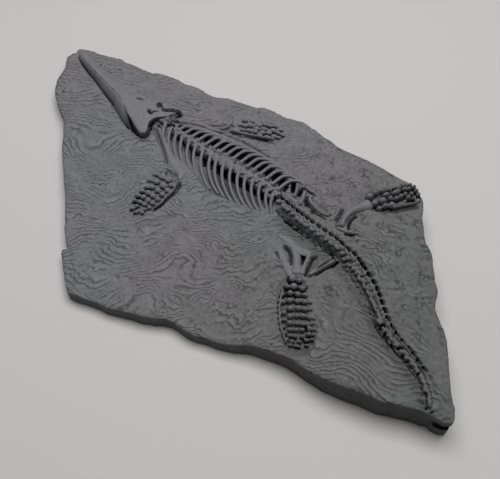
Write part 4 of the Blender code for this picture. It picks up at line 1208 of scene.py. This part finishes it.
class FOSSIL_OT_skull(bpy.types.Operator):
    """Model the skull with its openings, and the lower jaw beside it"""
    bl_idname = "fossil.skull"
    bl_label = "Skull and lower jaw"

    def execute(self, context):
        places = patch(SKULL_NEAR, SKULL_FAR, SKULL_SNOUT, SKULL_REAR, SKULL_CELLS)
        x, y = places[:, :, 0], places[:, :, 1]
        v = np.linspace(0, 1, SKULL_CELLS[1] + 1)[None, :]
        roof = read(SKULL_HEIGHT, x) * (1 - smooth((v - 0.12) / 0.88)) ** 0.8
        rise = roof - 0.35 * (1 - smooth(v / 0.05)) + 0.08 * swell(x, y, 6.0, 12)
        rise = rise + 0.035 * swell(x, y, 2.0, 13)
        open_to = np.zeros_like(x)
        for line, width, deep in SKULL_OPENINGS:
            open_to = np.maximum(open_to, deep * stroke(x, y, line, 0.7 * width, 0.5 * width))
        heights = stone(x, y) + rise - open_to - 0.12
        # Painted shade in the openings, darker the deeper they go
        mesh = relief("skull_bone", places, heights, 0.5, 1.1, open_to / 1.1)
        link("skull_bone", mesh, bone(), ["skull"])
        ends = (JAW_FOOT[0], JAW_TOP[0]), (JAW_FOOT[-1], JAW_TOP[-1])
        places = patch(JAW_FOOT, JAW_TOP, *ends, JAW_CELLS)
        x, y = places[:, :, 0], places[:, :, 1]
        v = np.linspace(0, 1, JAW_CELLS[1] + 1)[None, :]
        face = read(SKULL_HEIGHT, x) * np.sin(0.5 * math.pi * v) ** 0.85
        face = face * (1 - 0.8 * smooth((x + 61.5) / 8))
        # Painted shade on the jaw: darker towards its rear under the roof's overhang, and along its
        # foot on the stone
        shade = 0.75 * smooth((x + 61) / 8) + 0.3 * (1 - smooth(v / 0.15))
        mesh = relief("lower_jaw_bone", places, stone(x, y) + face - 0.35, 0.6, 0.2, shade)
        link("lower_jaw_bone", mesh, bone(), ["lower_jaw"])
        return {"FINISHED"}


class FOSSIL_OT_paddles(bpy.types.Operator):
    """Model the four paddles: rows of small bones that touch"""
    bl_idname = "fossil.paddles"
    bl_label = "Paddles"

    def execute(self, context):
        voxel = context.scene.fossil_bones.voxel / MM
        for name, (bones, edge, heading, tall, long_by, wide_by) in PADDLES.items():
            bm = bmesh.new()
            pavement(bm, bones, edge, heading, tall, long_by, wide_by)
            # Painted shade in the low places between the small bones
            mesh = blended(bm, name + "_bones", voxel, min(0.52, 0.8 * tall - 0.68), 1.1)
            link(name + "_bones", mesh, bone(), [name])
        return {"FINISHED"}


class FOSSIL_OT_limbs(bpy.types.Operator):
    """Model the shoulder bones, the upper arms, the hip bones and the thighs"""
    bl_idname = "fossil.limbs"
    bl_label = "Limb and hip bones"

    def execute(self, context):
        voxel = context.scene.fossil_bones.voxel / MM
        for name, (tall, *lines) in LIMBS.items():
            bm = bmesh.new()
            for line, widths in lines:
                strap(bm, line, widths, tall)
            # Painted shade where a bone sinks below the stone's level
            mesh = blended(bm, name + "_bone", voxel, 0.0, 1.0)
            link(name + "_bone", mesh, bone(), [name])
        return {"FINISHED"}


def aim(thing, target):
    """Turns a light or a camera towards a place."""
    thing.rotation_euler = (target - thing.location).to_track_quat("-Z", "Y").to_euler()


class FOSSIL_OT_stage(bpy.types.Operator):
    """Set up the floor, the lights and the camera"""
    bl_idname = "fossil.stage"
    bl_label = "Stage"

    def execute(self, context):
        stage = context.scene.fossil_stage
        scene = context.scene
        scene.view_settings.view_transform = "Standard"
        bm = bmesh.new()
        bmesh.ops.create_grid(bm, x_segments=1, y_segments=1, size=FLOOR_HALF)
        floor = placed("floor", to_mesh(bm, "floor"))
        paper = bpy.data.materials.new("pale_floor")
        paper.use_nodes = True
        shader = paper.node_tree.nodes["Principled BSDF"]
        shader.inputs["Base Color"].default_value = (*stage.floor_color, 1.0)
        shader.inputs["Roughness"].default_value = 0.85
        floor.data.materials.append(paper)

        world = bpy.data.worlds.new("studio")
        world.use_nodes = True
        background = world.node_tree.nodes["Background"]
        background.inputs["Color"].default_value = (0.93, 0.96, 1.0, 1.0)
        background.inputs["Strength"].default_value = stage.fill_power
        scene.world = world

        target = Vector(CAMERA_TARGET) * MM
        lamp = bpy.data.lights.new("softbox", "AREA")
        lamp.shape = "RECTANGLE"
        lamp.size = LIGHT_LONG * MM
        lamp.size_y = LIGHT_WIDE * MM
        lamp.energy = stage.key_power
        softbox = placed("softbox", lamp)
        softbox.location = target + Vector(LIGHT_FROM) * (LIGHT_DISTANCE * MM)
        aim(softbox, target)

        lens = bpy.data.cameras.new("camera")
        lens.lens = stage.lens
        lens.sensor_width = SENSOR_WIDTH
        lens.clip_start = 0.01
        lens.clip_end = 50.0
        camera = placed("camera", lens)
        camera.location = Vector(CAMERA_PLACE) * MM
        aim(camera, target)
        scene.camera = camera
        return {"FINISHED"}


SETTINGS = {
    "fossil_stone": FossilStoneSettings,
    "fossil_bones": FossilBoneSettings,
    "fossil_finish": FossilFinishSettings,
    "fossil_stage": FossilStageSettings,
}
OPERATORS = (FOSSIL_OT_slab, FOSSIL_OT_backbone, FOSSIL_OT_ribs, FOSSIL_OT_skull,
             FOSSIL_OT_paddles, FOSSIL_OT_limbs, FOSSIL_OT_stage)


class FOSSIL_PT_sidebar(bpy.types.Panel):
    """Lists the steps of the fossil and their settings"""
    bl_idname = "FOSSIL_PT_sidebar"
    bl_label = "Ichthyosaur Fossil"
    bl_space_type = "VIEW_3D"
    bl_region_type = "UI"
    bl_category = "Fossil"

    def draw(self, context):
        for operator in OPERATORS:
            self.layout.operator(operator.bl_idname)
        for name in SETTINGS:
            settings = getattr(context.scene, name)
            box = self.layout.box()
            for key in settings.bl_rna.properties.keys():
                if key not in ("rna_type", "name"):
                    box.prop(settings, key)


def register():
    for name, group in SETTINGS.items():
        bpy.utils.register_class(group)
        setattr(bpy.types.Scene, name, bpy.props.PointerProperty(type=group))
    for operator in OPERATORS:
        bpy.utils.register_class(operator)
    bpy.utils.register_class(FOSSIL_PT_sidebar)


def unregister():
    bpy.utils.unregister_class(FOSSIL_PT_sidebar)
    for operator in reversed(OPERATORS):
        bpy.utils.unregister_class(operator)
    for name, group in SETTINGS.items():
        delattr(bpy.types.Scene, name)
        bpy.utils.unregister_class(group)


def main():
    register()
    for old in list(bpy.data.objects):
        if old.type in ("LIGHT", "CAMERA"):
            bpy.data.objects.remove(old, do_unlink=True)
    bpy.ops.fossil.slab()
    bpy.ops.fossil.backbone()
    bpy.ops.fossil.ribs()
    bpy.ops.fossil.skull()
    bpy.ops.fossil.paddles()
    bpy.ops.fossil.limbs()
    bpy.ops.fossil.stage()


if __name__ == "__main__":
    main()
